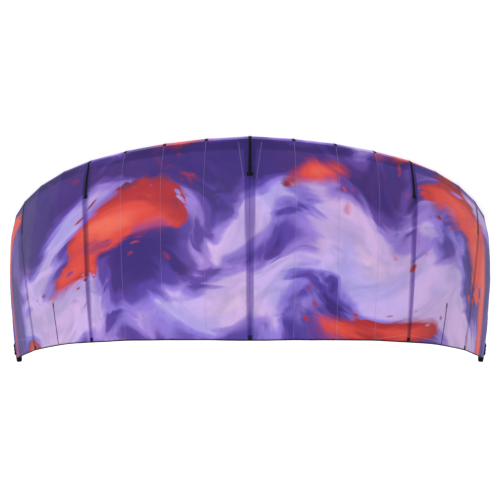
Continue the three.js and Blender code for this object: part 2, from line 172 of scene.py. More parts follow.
GROUND_FLAT = 0.003  # how far the tube is pressed in where it rests
MIDDLE_RADIUS = 0.074
GROUND_PANELS = 8  # a side that rest on the ground
TUBE_PANELS = [
    # length, heading and climb in degrees, radius at the outer end
    (0.353, 8, 0, 0.073),
    (0.355, 15, 0, 0.071),
    (0.359, 22.5, 0, 0.0685),
    (0.362, 30.5, 0, 0.065),
    (0.330, 41, 0, 0.061),
    (0.368, 51, 0, 0.0565),
    (0.369, 60.5, 0, 0.052),
    (0.340, 68, 0, 0.0475),
    (0.308, 74, 13, 0.043),
    (0.430, 81, 30, 0.038),
    (0.475, 88.5, 48, 0.033),
    (0.398, 97, 64, 0.028),
]
LAST_JOINT = len(TUBE_PANELS)
CHORDS = [
    # from the tube's axis to the trailing edge: chord, lean and toe in degrees, crown of the canopy
    (1.612, 23, 0, 0.084),
    (1.593, 23.1, -0.4, 0.088),
    (1.568, 23.4, -1, 0.086),
    (1.533, 24, -1.1, 0.074),
    (1.497, 25, -1, 0.052),
    (1.449, 26, 0, 0.062),
    (1.395, 27, 1.1, 0.058),
    (1.334, 28, 1.3, 0.046),
]
TIP_CROWNS = [0.042, 0.034, 0.022, 0.012, 0.002]  # of the canopy past the outer strut
TIP_EDGE_INSET = 0.050  # from the tube's axis to the trailing edge's outer end
MIRROR = np.array([-1.0, 1.0, 1.0])
SIDES = [(1, "right"), (-1, "left")]


def unit(vectors):
    """The vectors, each divided by its length."""
    return vectors / np.linalg.norm(vectors, axis=-1, keepdims=True)


def ease(value, start, end):
    """0 up to start, 1 from end, and a smooth S between them: 3t^2 - 2t^3."""
    share = np.clip((value - start) / (end - start), 0, 1)
    return share * share * (3 - 2 * share)


lengths, headings, climbs, outer_radii = np.array(TUBE_PANELS).T
headings = np.radians(headings)
climbs = np.radians(climbs)
radii = np.concatenate([[MIDDLE_RADIUS], outer_radii])
steps = lengths[:, None] * np.stack(
    [np.cos(climbs) * np.cos(headings), np.cos(climbs) * np.sin(headings), np.sin(climbs)], axis=1
)
first_joint = np.array([0.0, cad_box[0].y + MIDDLE_RADIUS, 0.0])
axis = np.concatenate([[first_joint], first_joint + np.cumsum(steps, axis=0)])
resting = np.arange(LAST_JOINT + 1) <= GROUND_PANELS
axis[:, 2] += radii[GROUND_PANELS] - GROUND_FLAT
axis[resting, 2] = radii[resting] - GROUND_FLAT
directions = unit(np.diff(axis, axis=0))

chords, leans, toes, chord_crowns = np.array(CHORDS).T
leans = np.radians(leans)
toes = np.radians(toes)
edge = np.zeros_like(axis)
edge[: len(CHORDS)] = axis[: len(CHORDS)] + chords[:, None] * np.stack(
    [-np.sin(toes), np.cos(toes) * np.sin(leans), np.cos(toes) * np.cos(leans)], axis=1
)
crowns = np.concatenate([chord_crowns, TIP_CROWNS])


def lay_tip_edge(corner):
    """The trailing edge past the outer strut: a straight line to the corner, less a short inset."""
    start = edge[len(CHORDS) - 1]
    whole = 1 - TIP_EDGE_INSET / np.linalg.norm(corner - start)
    shares = whole * np.arange(1, len(TIP_CROWNS) + 1) / len(TIP_CROWNS)
    edge[len(CHORDS) :] = start + shares[:, None] * (corner - start)


# At each joint: spans point along the tube, tops square out of the canopy, and fronts away from it.
lay_tip_edge(axis[-1])
before = np.concatenate([[-directions[0] * MIRROR], directions])
after = np.concatenate([directions, [directions[-1]]])
spans = unit(before + after)
tops = unit(np.cross(spans, edge - axis))
fronts = np.cross(spans, tops)
lay_tip_edge(axis[-1] + tops[-1] * radii[-1])


def ring_points(joint, degrees, growth=0.0):
    """Points at a height over the tube at a joint, for an array of angles up from its front.

    The outward direction at an angle is cos x front + sin x top. The cut at a joint is a mitre, so the
    distance from the axis is the radius over the sine of the angle between outward and the panel.
    """
    turn = np.radians(degrees)[..., None]
    outward = np.cos(turn) * fronts[joint] + np.sin(turn) * tops[joint]
    slant = outward @ directions[min(joint, LAST_JOINT - 1)]
    reach = (radii[joint] + growth) / np.sqrt(1 - slant * slant)
    return axis[joint] + outward * reach[..., None]


# The print. Its coordinates are metres across from the kite's middle and metres back from the seam on
# the tube. They are stirred with a few whirls, and pools of colour are laid in the stirred cloth.
PRINT_TURN = 2.6  # metres across at which the print is twice as wide as in the middle
WHIRLS = [
    # across, back, reach, turn in degrees
    (0.60, 0.95, 0.60, 48),
    (-0.70, 1.05, 0.50, 45),
    (-1.45, 0.50, 0.45, -60),
    (1.55, 1.10, 0.45, -45),
    (2.05, 0.45, 0.40, 50),
    (-2.10, 1.10, 0.40, 35),
]
RED_POOLS = [
    # across, back, half length, half width, slope in degrees, strength
    (1.10, 0.70, 0.55, 0.30, 52, 1.05),
    (2.25, 1.20, 0.46, 0.24, -50, 1.0),
    (-1.95, 0.50, 0.50, 0.26, -58, 1.05),
    (-1.20, 1.46, 0.52, 0.17, 8, 1.0),
    (-0.45, 0.26, 0.34, 0.10, 20, 0.9),
    (2.38, 0.35, 0.32, 0.12, 60, 0.9),
    (0.58, -0.07, 0.24, 0.06, 0, 1.1),
    (-1.50, -0.06, 0.34, 0.06, 0, 1.1),
]
LIGHT_POOLS = [
    # the same values; a strength below zero keeps the cloth dark
    (-1.00, 0.92, 0.80, 0.30, -30, 1.0),
    (0.10, 1.32, 0.75, 0.26, 10, 1.0),
    (1.62, 0.72, 0.50, 0.22, 55, 0.9),
    (-2.35, 1.15, 0.46, 0.26, -50, 1.0),
    (0.10, 0.55, 0.42, 0.14, 30, 0.8),
    (1.75, 1.45, 0.50, 0.14, -5, 0.8),
    (0.00, -0.09, 0.80, 0.06, 0, 1.0),
    (2.10, -0.07, 0.70, 0.09, 0, -0.9),
    (-2.10, -0.07, 0.60, 0.09, 0, -0.9),
    (-1.00, -0.08, 0.40, 0.05, 0, 0.8),
    (1.10, 0.16, 0.90, 0.14, 4, -0.7),
    (-0.70, 0.17, 1.00, 0.15, -3, -0.8),
    (2.10, 0.13, 0.60, 0.12, 0, -0.5),
]


def stirred(across, back):
    """The print's coordinates after each whirl has turned the cloth round it by turn x e^-(d/reach)^2."""
    for centre_across, centre_back, reach, degrees in WHIRLS:
        right = across - centre_across
        down = back - centre_back
        turn = np.radians(degrees) * np.exp(-(right * right + down * down) / reach**2)
        across = centre_across + right * np.cos(turn) - down * np.sin(turn)
        back = centre_back + right * np.sin(turn) + down * np.cos(turn)
    return across, back


def pooled(across, back, pools):
    """The sum of long soft spots, each strength x e^-((along/length)^2 + (beside/width)^2)."""
    total = np.zeros_like(across)
    for centre_across, centre_back, length, width, slope, strength in pools:
        right = across - centre_across
        down = back - centre_back
        tilt = np.radians(slope)
        along = right * np.cos(tilt) + down * np.sin(tilt)
        beside = down * np.cos(tilt) - right * np.sin(tilt)
        total += strength * np.exp(-((along / length) ** 2) - (beside / width) ** 2)
    return total


def print_layers(across, back):
    """What the printed cloth's material reads: the stirred coordinates and the two pools of colour.

    The print grows wider towards the tips: its own place is PRINT_TURN x atan(across / PRINT_TURN).
    """
    stirred_across, stirred_back = stirred(PRINT_TURN * np.arctan(across / PRINT_TURN), back)
    return {
        "print": np.stack([stirred_across, stirred_back], axis=-1),
        "red": pooled(stirred_across, stirred_back, RED_POOLS),
        "light": pooled(stirred_across, stirred_back, LIGHT_POOLS),
    }


def grid_quads(rows, columns):
    """The corners of every quad of a grid, as two arrays of rows and columns with four to a quad."""
    row, column = np.mgrid[0 : rows - 1, 0 : columns - 1]
    return row.reshape(-1, 1) + [0, 0, 1, 1], column.reshape(-1, 1) + [0, 1, 1, 0]


def add_piece(name, points, faces, layers, material, replaced=()):
    """A piece that rides with the kite, turned so that its faces point outwards.

    faces is a list of arrays of point numbers, and layers maps a name to one value a corner of those
    faces, in the same order: a pair makes a UV map and a single number an attribute.
    """
    volume = 0.0
    for block in faces:
        for last in range(2, block.shape[1]):
            a, b, c = (points[block[:, corner]] for corner in (0, last - 1, last))
            volume += np.einsum("ij,ij->", a, np.cross(b, c))
    turned = volume < 0
    order = [face for block in faces for face in (block[:, ::-1] if turned else block).tolist()]
    mesh = bpy.data.meshes.new(name)
    mesh.from_pydata(points.tolist(), [], order)
    mesh.polygons.foreach_set("use_smooth", np.ones(len(order), dtype=bool))
    for layer, blocks in layers.items():
        values = [block[:, ::-1] if turned else block for block in blocks]
        if values[0].ndim == 3:
            flat = np.concatenate([block.reshape(-1, 2) for block in values])
            mesh.uv_layers.new(name=layer).data.foreach_set("uv", flat.ravel())
        else:
            flat = np.concatenate([block.ravel() for block in values])
            mesh.attributes.new(layer, "FLOAT", "CORNER").data.foreach_set("value", flat)
    mesh.materials.append(material)
    mesh.update()
    piece = bpy.data.objects.new(name, mesh)
    scene.collection.objects.link(piece)
    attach(piece, "root")
    if replaced:
        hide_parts(*replaced)
    return piece


def tube_like(name, rings, layers, material, replaced=()):
    """A closed body through rings of points, with an end cap on its first and last ring.

    rings is (ring, side, xyz), and each layer is (ring, side + 1), so that it runs on round the seam.
    """
    count, sides = rings.shape[:2]
    row, column = grid_quads(count, sides + 1)
    walls = row * sides + column % sides
    round_once = np.arange(sides)[None, :]
    faces = [walls, round_once[:, ::-1], round_once + (count - 1) * sides]
    corner_layers = {
        layer: [values[row, column], values[:1, :-1][:, ::-1], values[-1:, :-1]]
        for layer, values in layers.items()
    }
    return add_piece(name, rings.reshape(-1, 3), faces, corner_layers, material, replaced)


def cloth_layer(rings):
    """True metres on a tube: how far along it each ring is, and how far round each side is."""
    closed = np.concatenate([rings, rings[:, :1]], axis=1)
    along = np.linalg.norm(np.diff(closed.mean(axis=1), axis=0), axis=-1)
    around = np.linalg.norm(np.diff(closed, axis=1), axis=-1)
    along = np.concatenate([[0], np.cumsum(along)])
    around = np.concatenate([np.zeros((len(rings), 1)), np.cumsum(around, axis=1)], axis=1)
    return np.stack([np.broadcast_to(along[:, None], around.shape), around], axis=-1)


def srgb(red, green, blue):
    """A colour as it looks on a screen, 0 to 255, turned into the linear values that Blender takes."""
    share = np.array([red, green, blue]) / 255
    linear = np.where(share <= 0.04045, share / 12.92, ((share + 0.055) / 1.055) ** 2.4)
    return (*linear.tolist(), 1.0)


def sum_node(tree, operation, first, second=0.0, third=0.0, clamp=False):
    """The output of a Math node."""
    node = add_node(tree, "ShaderNodeMath", {0: first, 1: second, 2: third}, operation=operation)
    node.use_clamp = clamp
    return node.outputs[0]


def mix_node(tree, share, first, second, blend="MIX"):
    """The output of a node that mixes two colours."""
    node = add_node(tree, "ShaderNodeMix", data_type="RGBA", blend_type=blend)
    for key, value in (("Factor_Float", share), ("A_Color", first), ("B_Color", second)):
        socket = next(entry for entry in node.inputs if entry.identifier == key)
        if isinstance(value, bpy.types.NodeSocket):
            tree.links.new(value, socket)
        else:
            socket.default_value = value
    return next(entry for entry in node.outputs if entry.identifier == "Result_Color")


def ramp_node(tree, value, stops, interpolation="LINEAR"):
    """The colour output of a colour ramp with (place, colour) stops."""
    node = add_node(tree, "ShaderNodeValToRGB", {"Fac": value})
    node.color_ramp.interpolation = interpolation
    elements = node.color_ramp.elements
    while len(elements) < len(stops):
        elements.new(0.5)
    for element, (place, colour) in zip(elements, stops):
        element.position = place
        element.color = colour
    return node.outputs["Color"]


def noise_node(tree, vector, scale, detail=2.0, roughness=0.5, distortion=0.0):
    """A Noise node on the given coordinates; its scale is in cells a metre."""
    inputs = {"Vector": vector, "Scale": scale, "Detail": detail, "Roughness": roughness}
    return add_node(tree, "ShaderNodeTexNoise", {**inputs, "Distortion": distortion})


DEEP_VIOLET = srgb(72, 46, 128)
MID_VIOLET = srgb(100, 72, 168)
LILAC = srgb(158, 132, 220)
PALE_LILAC = srgb(206, 184, 236)
PINK_LILAC = srgb(216, 194, 232)
MAROON = srgb(118, 44, 84)
RED = srgb(180, 46, 56)
RED_ORANGE = srgb(226, 76, 68)
PALE_ORANGE = srgb(240, 112, 92)
VIOLET_STOPS = [
    (0.25, DEEP_VIOLET),
    (0.36, MID_VIOLET),
    (0.45, LILAC),
    (0.54, PALE_LILAC),
    (0.68, PALE_LILAC),
    (0.80, PINK_LILAC),
]
TINT_STOPS = [(0.38, (0.86, 0.90, 1.0, 1)), (0.60, (1.0, 0.93, 0.90, 1))]
VEIL_STOPS = [(0.34, (0.80, 0.84, 0.92, 1)), (0.66, (1.16, 1.12, 1.10, 1))]
RED_STOPS = [(0.22, MAROON), (0.40, RED), (0.66, RED_ORANGE), (0.95, PALE_ORANGE)]
SMOKE_START = -0.425  # lightness of the violet before its pools and noises are added
LIGHT_POOL_SHARE = 0.34
SMOKE_SHARE = 1.15
WISP_SHARE = 0.30
VEIN_SHARE = 0.085
WISP_DRAW = 2.2  # how much narrower than long the wisps are
VEIN_SHARPNESS = 7.0
RED_NOISE_SHARE = 1.9
RED_START = 0.90  # taken off the sum of the red's pools and noise
RED_LIMIT = 0.40  # what has to be left before the red begins to cover
RED_BLUR = (0.06, 0.55)  # width of its edge where that is sharpest and softest
RED_TONE_START = 0.70  # taken off the red's brightness before its noises are added
RED_LEVEL_TONE = 0.45
SHADE_TONE = 0.55
DEPTH_TONE = 1.3
DROP_CELLS = 9.0  # places for a drop, in each metre
DROP_SIZES = (0.70, -0.36)  # spread and start of a drop's radius in its cell, where below zero is no drop
DROP_SHARPNESS = 9.0
DROP_NEARNESS = 3.2  # how closely the drops keep to the edge of the red


def push_node(tree, place, noise, reach):
    """The coordinates moved by a noise's colour: place + reach x (colour - a half)."""
    inputs = {0: noise.outputs["Color"], 1: (0.5, 0.5, 0.5)}
    centred = add_node(tree, "ShaderNodeVectorMath", inputs, operation="SUBTRACT").outputs[0]
    inputs = {0: centred, 1: (reach, reach, 0.0), 2: place}
    return add_node(tree, "ShaderNodeVectorMath", inputs, operation="MULTIPLY_ADD").outputs[0]


def make_print():
    """The node group of the marbled print.

    Smoke is noise on the stirred coordinates, bent twice more by softer noise and lifted where the light
    pools lie. Long wisps, the thin veins along their middles, a slow change of tint and fine veils are
    laid over it. Red lies where its own pools and a rougher noise add up to more than a limit, and round
    drops of each colour float in the other near that limit.
    """
    tree = bpy.data.node_groups.new("marbled_print", "ShaderNodeTree")
    tree.interface.new_socket("Color", in_out="OUTPUT", socket_type="NodeSocketColor")
    output = tree.nodes.new("NodeGroupOutput")
    place = add_node(tree, "ShaderNodeUVMap", uv_map="print").outputs[0]
    red_pool = add_node(tree, "ShaderNodeAttribute", attribute_name="red").outputs["Fac"]
    light_pool = add_node(tree, "ShaderNodeAttribute", attribute_name="light").outputs["Fac"]

    bent_once = push_node(tree, place, noise_node(tree, place, 1.15, 1.5, 0.5), 0.72)
    pushed = push_node(tree, bent_once, noise_node(tree, bent_once, 2.7, 2.0, 0.5), 0.27)

    smoke = noise_node(tree, pushed, 1.25, 3.0, 0.48, 0.25).outputs[0]
    drawn_out = add_node(tree, "ShaderNodeMapping", {"Vector": pushed, "Scale": (1.0, WISP_DRAW, 1.0)})
    wisps = noise_node(tree, drawn_out.outputs[0], 1.7, 3.0, 0.5, 0.5).outputs[0]
    off_vein = sum_node(tree, "ABSOLUTE", sum_node(tree, "SUBTRACT", wisps, 0.5))
    off_vein = sum_node(tree, "MULTIPLY", off_vein, VEIN_SHARPNESS)
    vein = sum_node(tree, "SUBTRACT", 1.0, off_vein, clamp=True)
    level = sum_node(tree, "MULTIPLY_ADD", light_pool, LIGHT_POOL_SHARE, SMOKE_START)
    for noise, share in ((smoke, SMOKE_SHARE), (wisps, WISP_SHARE), (vein, VEIN_SHARE)):
        level = sum_node(tree, "MULTIPLY_ADD", noise, share, level)
    violet = ramp_node(tree, level, VIOLET_STOPS, "EASE")
    tint = ramp_node(tree, noise_node(tree, place, 1.3, 2.0).outputs[0], TINT_STOPS, "EASE")
    violet = mix_node(tree, 1.0, violet, tint, "MULTIPLY")
    veil = ramp_node(tree, noise_node(tree, pushed, 3.4, 4.0, 0.6, 0.4).outputs[0], VEIL_STOPS, "EASE")
    violet = mix_node(tree, 1.0, violet, veil, "MULTIPLY")

    rough = noise_node(tree, pushed, 2.1, 5.0, 0.58, 0.4).outputs[0]
    red_level = sum_node(tree, "MULTIPLY_ADD", rough, RED_NOISE_SHARE, red_pool)
    red_level = sum_node(tree, "SUBTRACT", red_level, RED_START)
    softness = noise_node(tree, place, 1.9, 1.0).outputs[0]
    blur = stretched(tree, softness, *RED_BLUR, start=0.42, end=0.60)
    red_share = sum_node(tree, "SUBTRACT", red_level, RED_LIMIT)
    red_share = sum_node(tree, "DIVIDE", red_share, blur, clamp=True)
    shade = noise_node(tree, pushed, 4.2, 2.0, 0.5).outputs[0]
    depth = noise_node(tree, place, 0.8, 1.0).outputs[0]
    red_tone = sum_node(tree, "MULTIPLY", shade, SHADE_TONE)
    red_tone = sum_node(tree, "MULTIPLY_ADD", red_level, RED_LEVEL_TONE, red_tone)
    red_tone = sum_node(tree, "SUBTRACT", red_tone, RED_TONE_START)
    red_tone = sum_node(tree, "MULTIPLY_ADD", depth, DEPTH_TONE, red_tone)
    red_colour = ramp_node(tree, red_tone, RED_STOPS, "EASE")

    inputs = {"Vector": bent_once, "Scale": DROP_CELLS, "Randomness": 1.0}
    cells = add_node(tree, "ShaderNodeTexVoronoi", inputs, voronoi_dimensions="2D")
    own = add_node(tree, "ShaderNodeSeparateColor", {0: cells.outputs["Color"]})
    size = sum_node(tree, "MULTIPLY_ADD", own.outputs[0], *DROP_SIZES)
    drop = sum_node(tree, "SUBTRACT", size, cells.outputs["Distance"])
    drop = sum_node(tree, "MULTIPLY", drop, DROP_SHARPNESS, clamp=True)
    off_edge = sum_node(tree, "ABSOLUTE", sum_node(tree, "SUBTRACT", red_level, 0.5))
    off_edge = sum_node(tree, "MULTIPLY", off_edge, DROP_NEARNESS)
    near = sum_node(tree, "SUBTRACT", 1.0, off_edge, clamp=True)
    near = sum_node(tree, "MULTIPLY", near, 2.0, clamp=True)
    drop = sum_node(tree, "MULTIPLY", drop, near, clamp=True)
    to_other = sum_node(tree, "SUBTRACT", sum_node(tree, "SUBTRACT", 1.0, red_share), red_share)
    with_drops = sum_node(tree, "MULTIPLY_ADD", to_other, drop, red_share)
    colour = mix_node(tree, with_drops, violet, red_colour)
    tree.links.new(colour, output.inputs[0])
    return tree


marbled_print = make_print()


def add_print(tree):
    """The colour of the marbled print."""
    return add_node(tree, "ShaderNodeGroup", node_tree=marbled_print).outputs[0]


def line_pattern(tree, coordinate, spacing, width):
    """1 on thin lines, 0 between them: the distance from the nearest whole number of spacings."""
    share = sum_node(tree, "FRACT", sum_node(tree, "DIVIDE", coordinate, spacing))
    off = sum_node(tree, "ABSOLUTE", sum_node(tree, "SUBTRACT", share, 0.5))
    return sum_node(tree, "MULTIPLY_ADD", off, spacing / width, 1 - 0.5 * spacing / width, clamp=True)


WEAVE_HEIGHT = 0.00004
CREASES = 14.0  # noise cells in each metre
RIPSTOP_WIDTH = 0.0009
RIPSTOP_HEIGHT = 0.0002


def woven_bump(tree, thread, crease_height, ripstop=0.0):
    """The relief of woven cloth, sine x sine, with faint creases and an optional ripstop grid.

    thread is the width of two threads and ripstop the spacing of the grid, in metres.
    """
    place = add_node(tree, "ShaderNodeUVMap", uv_map="cloth").outputs[0]
    ways = add_node(tree, "ShaderNodeSeparateXYZ", {0: place})
    waves = [
        sum_node(tree, "SINE", sum_node(tree, "MULTIPLY", ways.outputs[way], 2 * np.pi / thread))
        for way in (0, 1)
    ]
    weave = sum_node(tree, "MULTIPLY", waves[0], waves[1])
    creases = noise_node(tree, place, CREASES, 4.0, 0.6, 0.4).outputs[0]
    height = sum_node(tree, "MULTIPLY", creases, crease_height)
    height = sum_node(tree, "MULTIPLY_ADD", weave, WEAVE_HEIGHT, height)
    if ripstop:
        lines = [line_pattern(tree, ways.outputs[way], ripstop, RIPSTOP_WIDTH) for way in (0, 1)]
        height = sum_node(tree, "MULTIPLY_ADD", sum_node(tree, "MAXIMUM", *lines), RIPSTOP_HEIGHT, height)
    bump = add_node(tree, "ShaderNodeBump", {"Height": height, "Strength": 0.7, "Distance": 1.0})
    return bump.outputs[0], creases


TUBE_BASE = srgb(176, 160, 222)
TUBE_PRINT_SHARE = 0.80


def make_tube_cloth():
    """Heavy polyester: the print over a pale base, a coarse weave and small creases, with painted shade
    in their hollows.
    """
    material, tree, output = new_material("tube_cloth")
    bump, creases = woven_bump(tree, 0.0012, 0.0016)
    colour = mix_node(tree, TUBE_PRINT_SHARE, TUBE_BASE, add_print(tree))
    # Painted shade: the colour is darker in the creases' hollows and lighter on their ridges.
    colour = mix_node(tree, 1.0, colour, stretched(tree, creases, 0.90, 1.08), "MULTIPLY")
    look = {"Base Color": colour, "Roughness": stretched(tree, creases, 0.48, 0.68), "Normal": bump}
    finish_with(tree, output, {**look, "Specular IOR Level": 0.22})
    return material


tube_cloth = make_tube_cloth()
TUBE_SIDES = 96
TUBE_DEGREES = 180 + np.linspace(0, 360, TUBE_SIDES, endpoint=False)  # the ring closes at the back
TUBE_ROWS = 30
TUBE_PUCKER = 0.0011  # height of the gathers beside a seam
PUCKER_REACH = 0.035
SEAM_ANGLE = 48  # where the canopy is sewn on, in degrees up from the tube's front


def tube_across(place):
    """Metres across from the kite's middle to a place, counted in tube joints along the tube."""
    return np.interp(place, np.arange(LAST_JOINT + 1), np.concatenate([[0], np.cumsum(lengths)]))


def tube_rings(index, shares):
    """Rings of one tube panel: straight lines from one joint's ring to the next.

    Beside each seam, on the hollow side of the bend, the cloth is gathered into small waves, the sum of
    two sines round the tube, that die away along the panel as e^-(metres / PUCKER_REACH). Whatever
    would lie under the ground is pressed flat on it.
    """
    near = ring_points(index, TUBE_DEGREES)
    far = ring_points(index + 1, TUBE_DEGREES)
    rings = near + shares[:, None, None] * (far - near)
    middle = axis[index] + shares[:, None] * (axis[index + 1] - axis[index])
    outward = unit(rings - middle[:, None])
    from_seam = np.minimum(shares, 1 - shares) * lengths[index]
    turn = np.radians(TUBE_DEGREES)
    hollow = ease(-np.cos(turn), -0.1, 0.8)
    waves = np.sin(turn * 23 + 1.7 * index) + 0.6 * np.sin(turn * 37 + 2.9 * index)
    height = TUBE_PUCKER * np.exp(-from_seam / PUCKER_REACH)[:, None] * (hollow * waves)[None, :]
    rings = rings + outward * height[..., None]
    rings[..., 2] = np.maximum(rings[..., 2], 0)
    return rings


for index in range(LAST_JOINT):
    shares = np.linspace(0, 1, TUBE_ROWS)
    rings = tube_rings(index, shares)
    from_seam = np.radians(np.append(TUBE_DEGREES, TUBE_DEGREES[0] + 360) - 360 - SEAM_ANGLE)
    radius = radii[index] + shares * (radii[index + 1] - radii[index])
    back = radius[:, None] * from_seam[None, :]
    for side, side_name in SIDES:
        across = np.broadcast_to(side * tube_across(index + shares)[:, None], back.shape)
        panel = tube_like(
            f"tube_panel_{index + 1}_{side_name}",
            rings * [side, 1, 1],
            {"cloth": cloth_layer(rings), **print_layers(across, back)},
            tube_cloth,
            [f"leading_edge_{index + 1}_{side_name}"],
        )

# Canopy
# The kite's sail is thin, slightly clear ripstop cloth in twelve cuts, drawn tight over the tube and
# the struts. It billows a little between its seams and is gathered where it is sewn to the bent tube.

CANOPY_LIFT = 0.0007  # of the canopy's inner face over the tube
CLOTH_THICKNESS = 0.0008
CROWN_PLACE = 0.25  # of the way from the tube to the trailing edge
SHOULDER_ROW = 2  # rows 0 to 2 lie on the tube, 2 to 6 climb to the crown, 6 to 12 fall to the edge
CROWN_ROW = 6
EDGE_ROW = 12
SPAN_STEP = 0.04  # of a tube panel, and of a row, over which the cloth's slopes are taken
ROW_STEP = 0.1
BILLOW_HEIGHT = 0.0045
BILLOW_EDGE = 0.11  # how far from a seam the billow has mostly risen
SEAM_DEPTH = 0.0012
SEAM_VALLEY = 0.014
GATHER_HEIGHT = 0.0011
GATHER_SPACING = 0.046
GATHER_REACH = 0.11
FLUTTER_HEIGHT = 0.0010
FLUTTER_SPACING = 0.19
CANOPY_CLOTHS = [
    # first and last joint, name
    (0, 1, "canopy_1"),
    (1, 2, "canopy_2"),
    (2, 3, "canopy_3"),
    (3, 4, "canopy_4"),
    (4, 7, "canopy_5"),
    (7, 12, "canopy_tip"),
]
CLOTH_SEAMS = np.array([0, 1, 2, 3, 4, 7])  # the tube joints that they start from


def bent(start, bend, end, share):
    """A quadratic curve: (1-t)^2 start + 2t(1-t) bend + t^2 end."""
    share = share[..., None]
    return (1 - share) ** 2 * start + 2 * share * (1 - share) * bend + share**2 * end


def profile(joint, rows):
    """The canopy's section at a joint, for an array of rows.

    An arc over the tube runs from the seam to the shoulder, where the cloth leaves the tube. From there
    one quadratic curve rises to the crown and another falls to the trailing edge.
    """
    across = edge[joint] - axis[joint]
    level = np.sqrt(across @ across - (across @ spans[joint]) ** 2)
    climb = np.arctan(2 * crowns[joint] / (CROWN_PLACE * level))
    fall = np.arctan((radii[joint] - across @ tops[joint]) / level)
    leave = 90 - np.degrees(climb - fall)
    on_tube = SEAM_ANGLE + (leave - SEAM_ANGLE) * np.clip(rows / SHOULDER_ROW, 0, 1)
    arc = ring_points(joint, on_tube, CANOPY_LIFT)
    shoulder = ring_points(joint, np.array([leave]), CANOPY_LIFT)[0]
    length = np.linalg.norm(edge[joint] - shoulder)
    line = (edge[joint] - shoulder) / length
    rise = unit(tops[joint] - line * (tops[joint] @ line))
    crown = shoulder + line * CROWN_PLACE * length + rise * crowns[joint]
    rise_bend = crown - line * CROWN_PLACE * length / 2
    fall_bend = crown + line * (1 - CROWN_PLACE) * length / 2
    up_share = np.clip((rows - SHOULDER_ROW) / (CROWN_ROW - SHOULDER_ROW), 0, 1)
    down_share = np.clip((rows - CROWN_ROW) / (EDGE_ROW - CROWN_ROW), 0, 1)
    up = bent(shoulder, rise_bend, crown, up_share)
    down = bent(crown, fall_bend, edge[joint], down_share)
    rows = rows[..., None]
    return np.where(rows < SHOULDER_ROW, arc, np.where(rows < CROWN_ROW, up, down))


def cloth_points(place, rows):
    """Points of the canopy's inner face. A place of 2.5 is halfway from joint 2 to joint 3.

    On the tube the cloth is straight from joint to joint, as the tube is. By the crown it is a smooth
    curve through the sections: the Catmull-Rom cubic of the four nearest.
    """
    reach = np.abs(place)
    sections = np.stack([profile(joint, rows) for joint in range(LAST_JOINT + 1)])
    past_middle = sections[1] * MIRROR
    past_tip = 2 * sections[-1] - sections[-2]
    sections = np.concatenate([[past_middle], sections, [past_tip]])
    joint = np.minimum(np.floor(reach).astype(int), LAST_JOINT - 1)
    share = (reach - joint)[..., None]
    a, b, c, d = (
        np.take_along_axis(sections, (joint + step)[None, ..., None], axis=0)[0] for step in range(4)
    )
    cubic = share * (2 * a - 5 * b + 4 * c - d + share * (3 * (b - c) + d - a))
    smooth = b + 0.5 * share * (c - a + cubic)
    straight = b + share * (c - b)
    blend = ease(rows, SHOULDER_ROW, CROWN_ROW)[..., None]
    points = straight + blend * (smooth - straight)
    return np.where((place < 0)[..., None], points * MIRROR, points)


def cloth_normals(place, rows):
    """Directions out of the canopy's top side: spanwise x chordwise steps of the surface.

    At the tube's end the rows bunch together, so the tube's own top direction takes over there.
    """
    reach = np.abs(place)
    right = cloth_points(np.minimum(reach + SPAN_STEP, LAST_JOINT), rows)
    left = cloth_points(reach - SPAN_STEP, rows)
    back = cloth_points(reach, np.minimum(rows + ROW_STEP, EDGE_ROW))
    front = cloth_points(reach, np.maximum(rows - ROW_STEP, 0))
    normals = unit(np.cross(right - left, back - front))
    at_tip = ease(reach, LAST_JOINT - 0.4, LAST_JOINT)[..., None]
    normals = unit(normals + at_tip * (tops[-1] - normals))
    return np.where((place < 0)[..., None], normals * MIRROR, normals)


def rough_back(reach, rows):
    """About how far a row is from the seam on the tube, in metres."""
    chord = np.interp(reach, np.arange(LAST_JOINT + 1), np.linalg.norm(edge - axis, axis=1))
    return chord * np.interp(rows, [0, SHOULDER_ROW, CROWN_ROW, EDGE_ROW], [0, 0.04, 0.28, 1])


def ripple(place, rows):
    """How far the stretched cloth stands off its smooth shape, in metres.

    It is the sum of a billow between the seams, 1 - e^-(d/edge)^2, a shallow valley along each seam,
    gathers that die away from the tube, long uneven waves, and a flutter along the trailing edge. All
    of it dies away at the wing tips.
    """
    reach = np.abs(place)
    across = np.sign(place) * tube_across(reach)
    back = rough_back(reach, rows)
    off_tube = ease(rows, SHOULDER_ROW, SHOULDER_ROW + 2)
    seams = tube_across(CLOTH_SEAMS.astype(float))
    to_seam = np.min(np.abs(np.abs(across)[..., None] - seams), axis=-1)
    tip_side = ease(reach, LAST_JOINT - 0.8, LAST_JOINT - 0.1)
    between = 1 - np.exp(-((to_seam / BILLOW_EDGE) ** 2))
    billow = BILLOW_HEIGHT * between * off_tube
    valley = -SEAM_DEPTH * np.exp(-((to_seam / SEAM_VALLEY) ** 2)) * off_tube
    wave = across / GATHER_SPACING + 0.8 * np.sin(across * 9.0) + 0.5 * np.sin(across * 23.0)
    gathers = GATHER_HEIGHT * np.sin(2 * np.pi * wave) * np.exp(-((back - 0.10) / GATHER_REACH) ** 2)
    long_waves = (
        0.0016 * np.sin(7.1 * across + 3.3 * back + 0.4)
        + 0.0013 * np.sin(-4.7 * across + 6.9 * back + 2.1)
        + 0.0008 * np.sin(15.3 * across - 4.1 * back + 1.3 * np.sin(5.0 * back))
        + 0.0005 * np.sin(33.0 * across + 7.0 * np.sin(3.1 * back + across))
    )
    flutter = FLUTTER_HEIGHT * np.sin(2 * np.pi * across / FLUTTER_SPACING + 1.9 * np.sin(4 * across))
    flutter = flutter * ease(rows, 8.5, EDGE_ROW)
    loose = off_tube * (0.25 + 0.75 * between)
    return (billow + valley + gathers * off_tube + (long_waves + flutter) * loose) * (1 - tip_side)


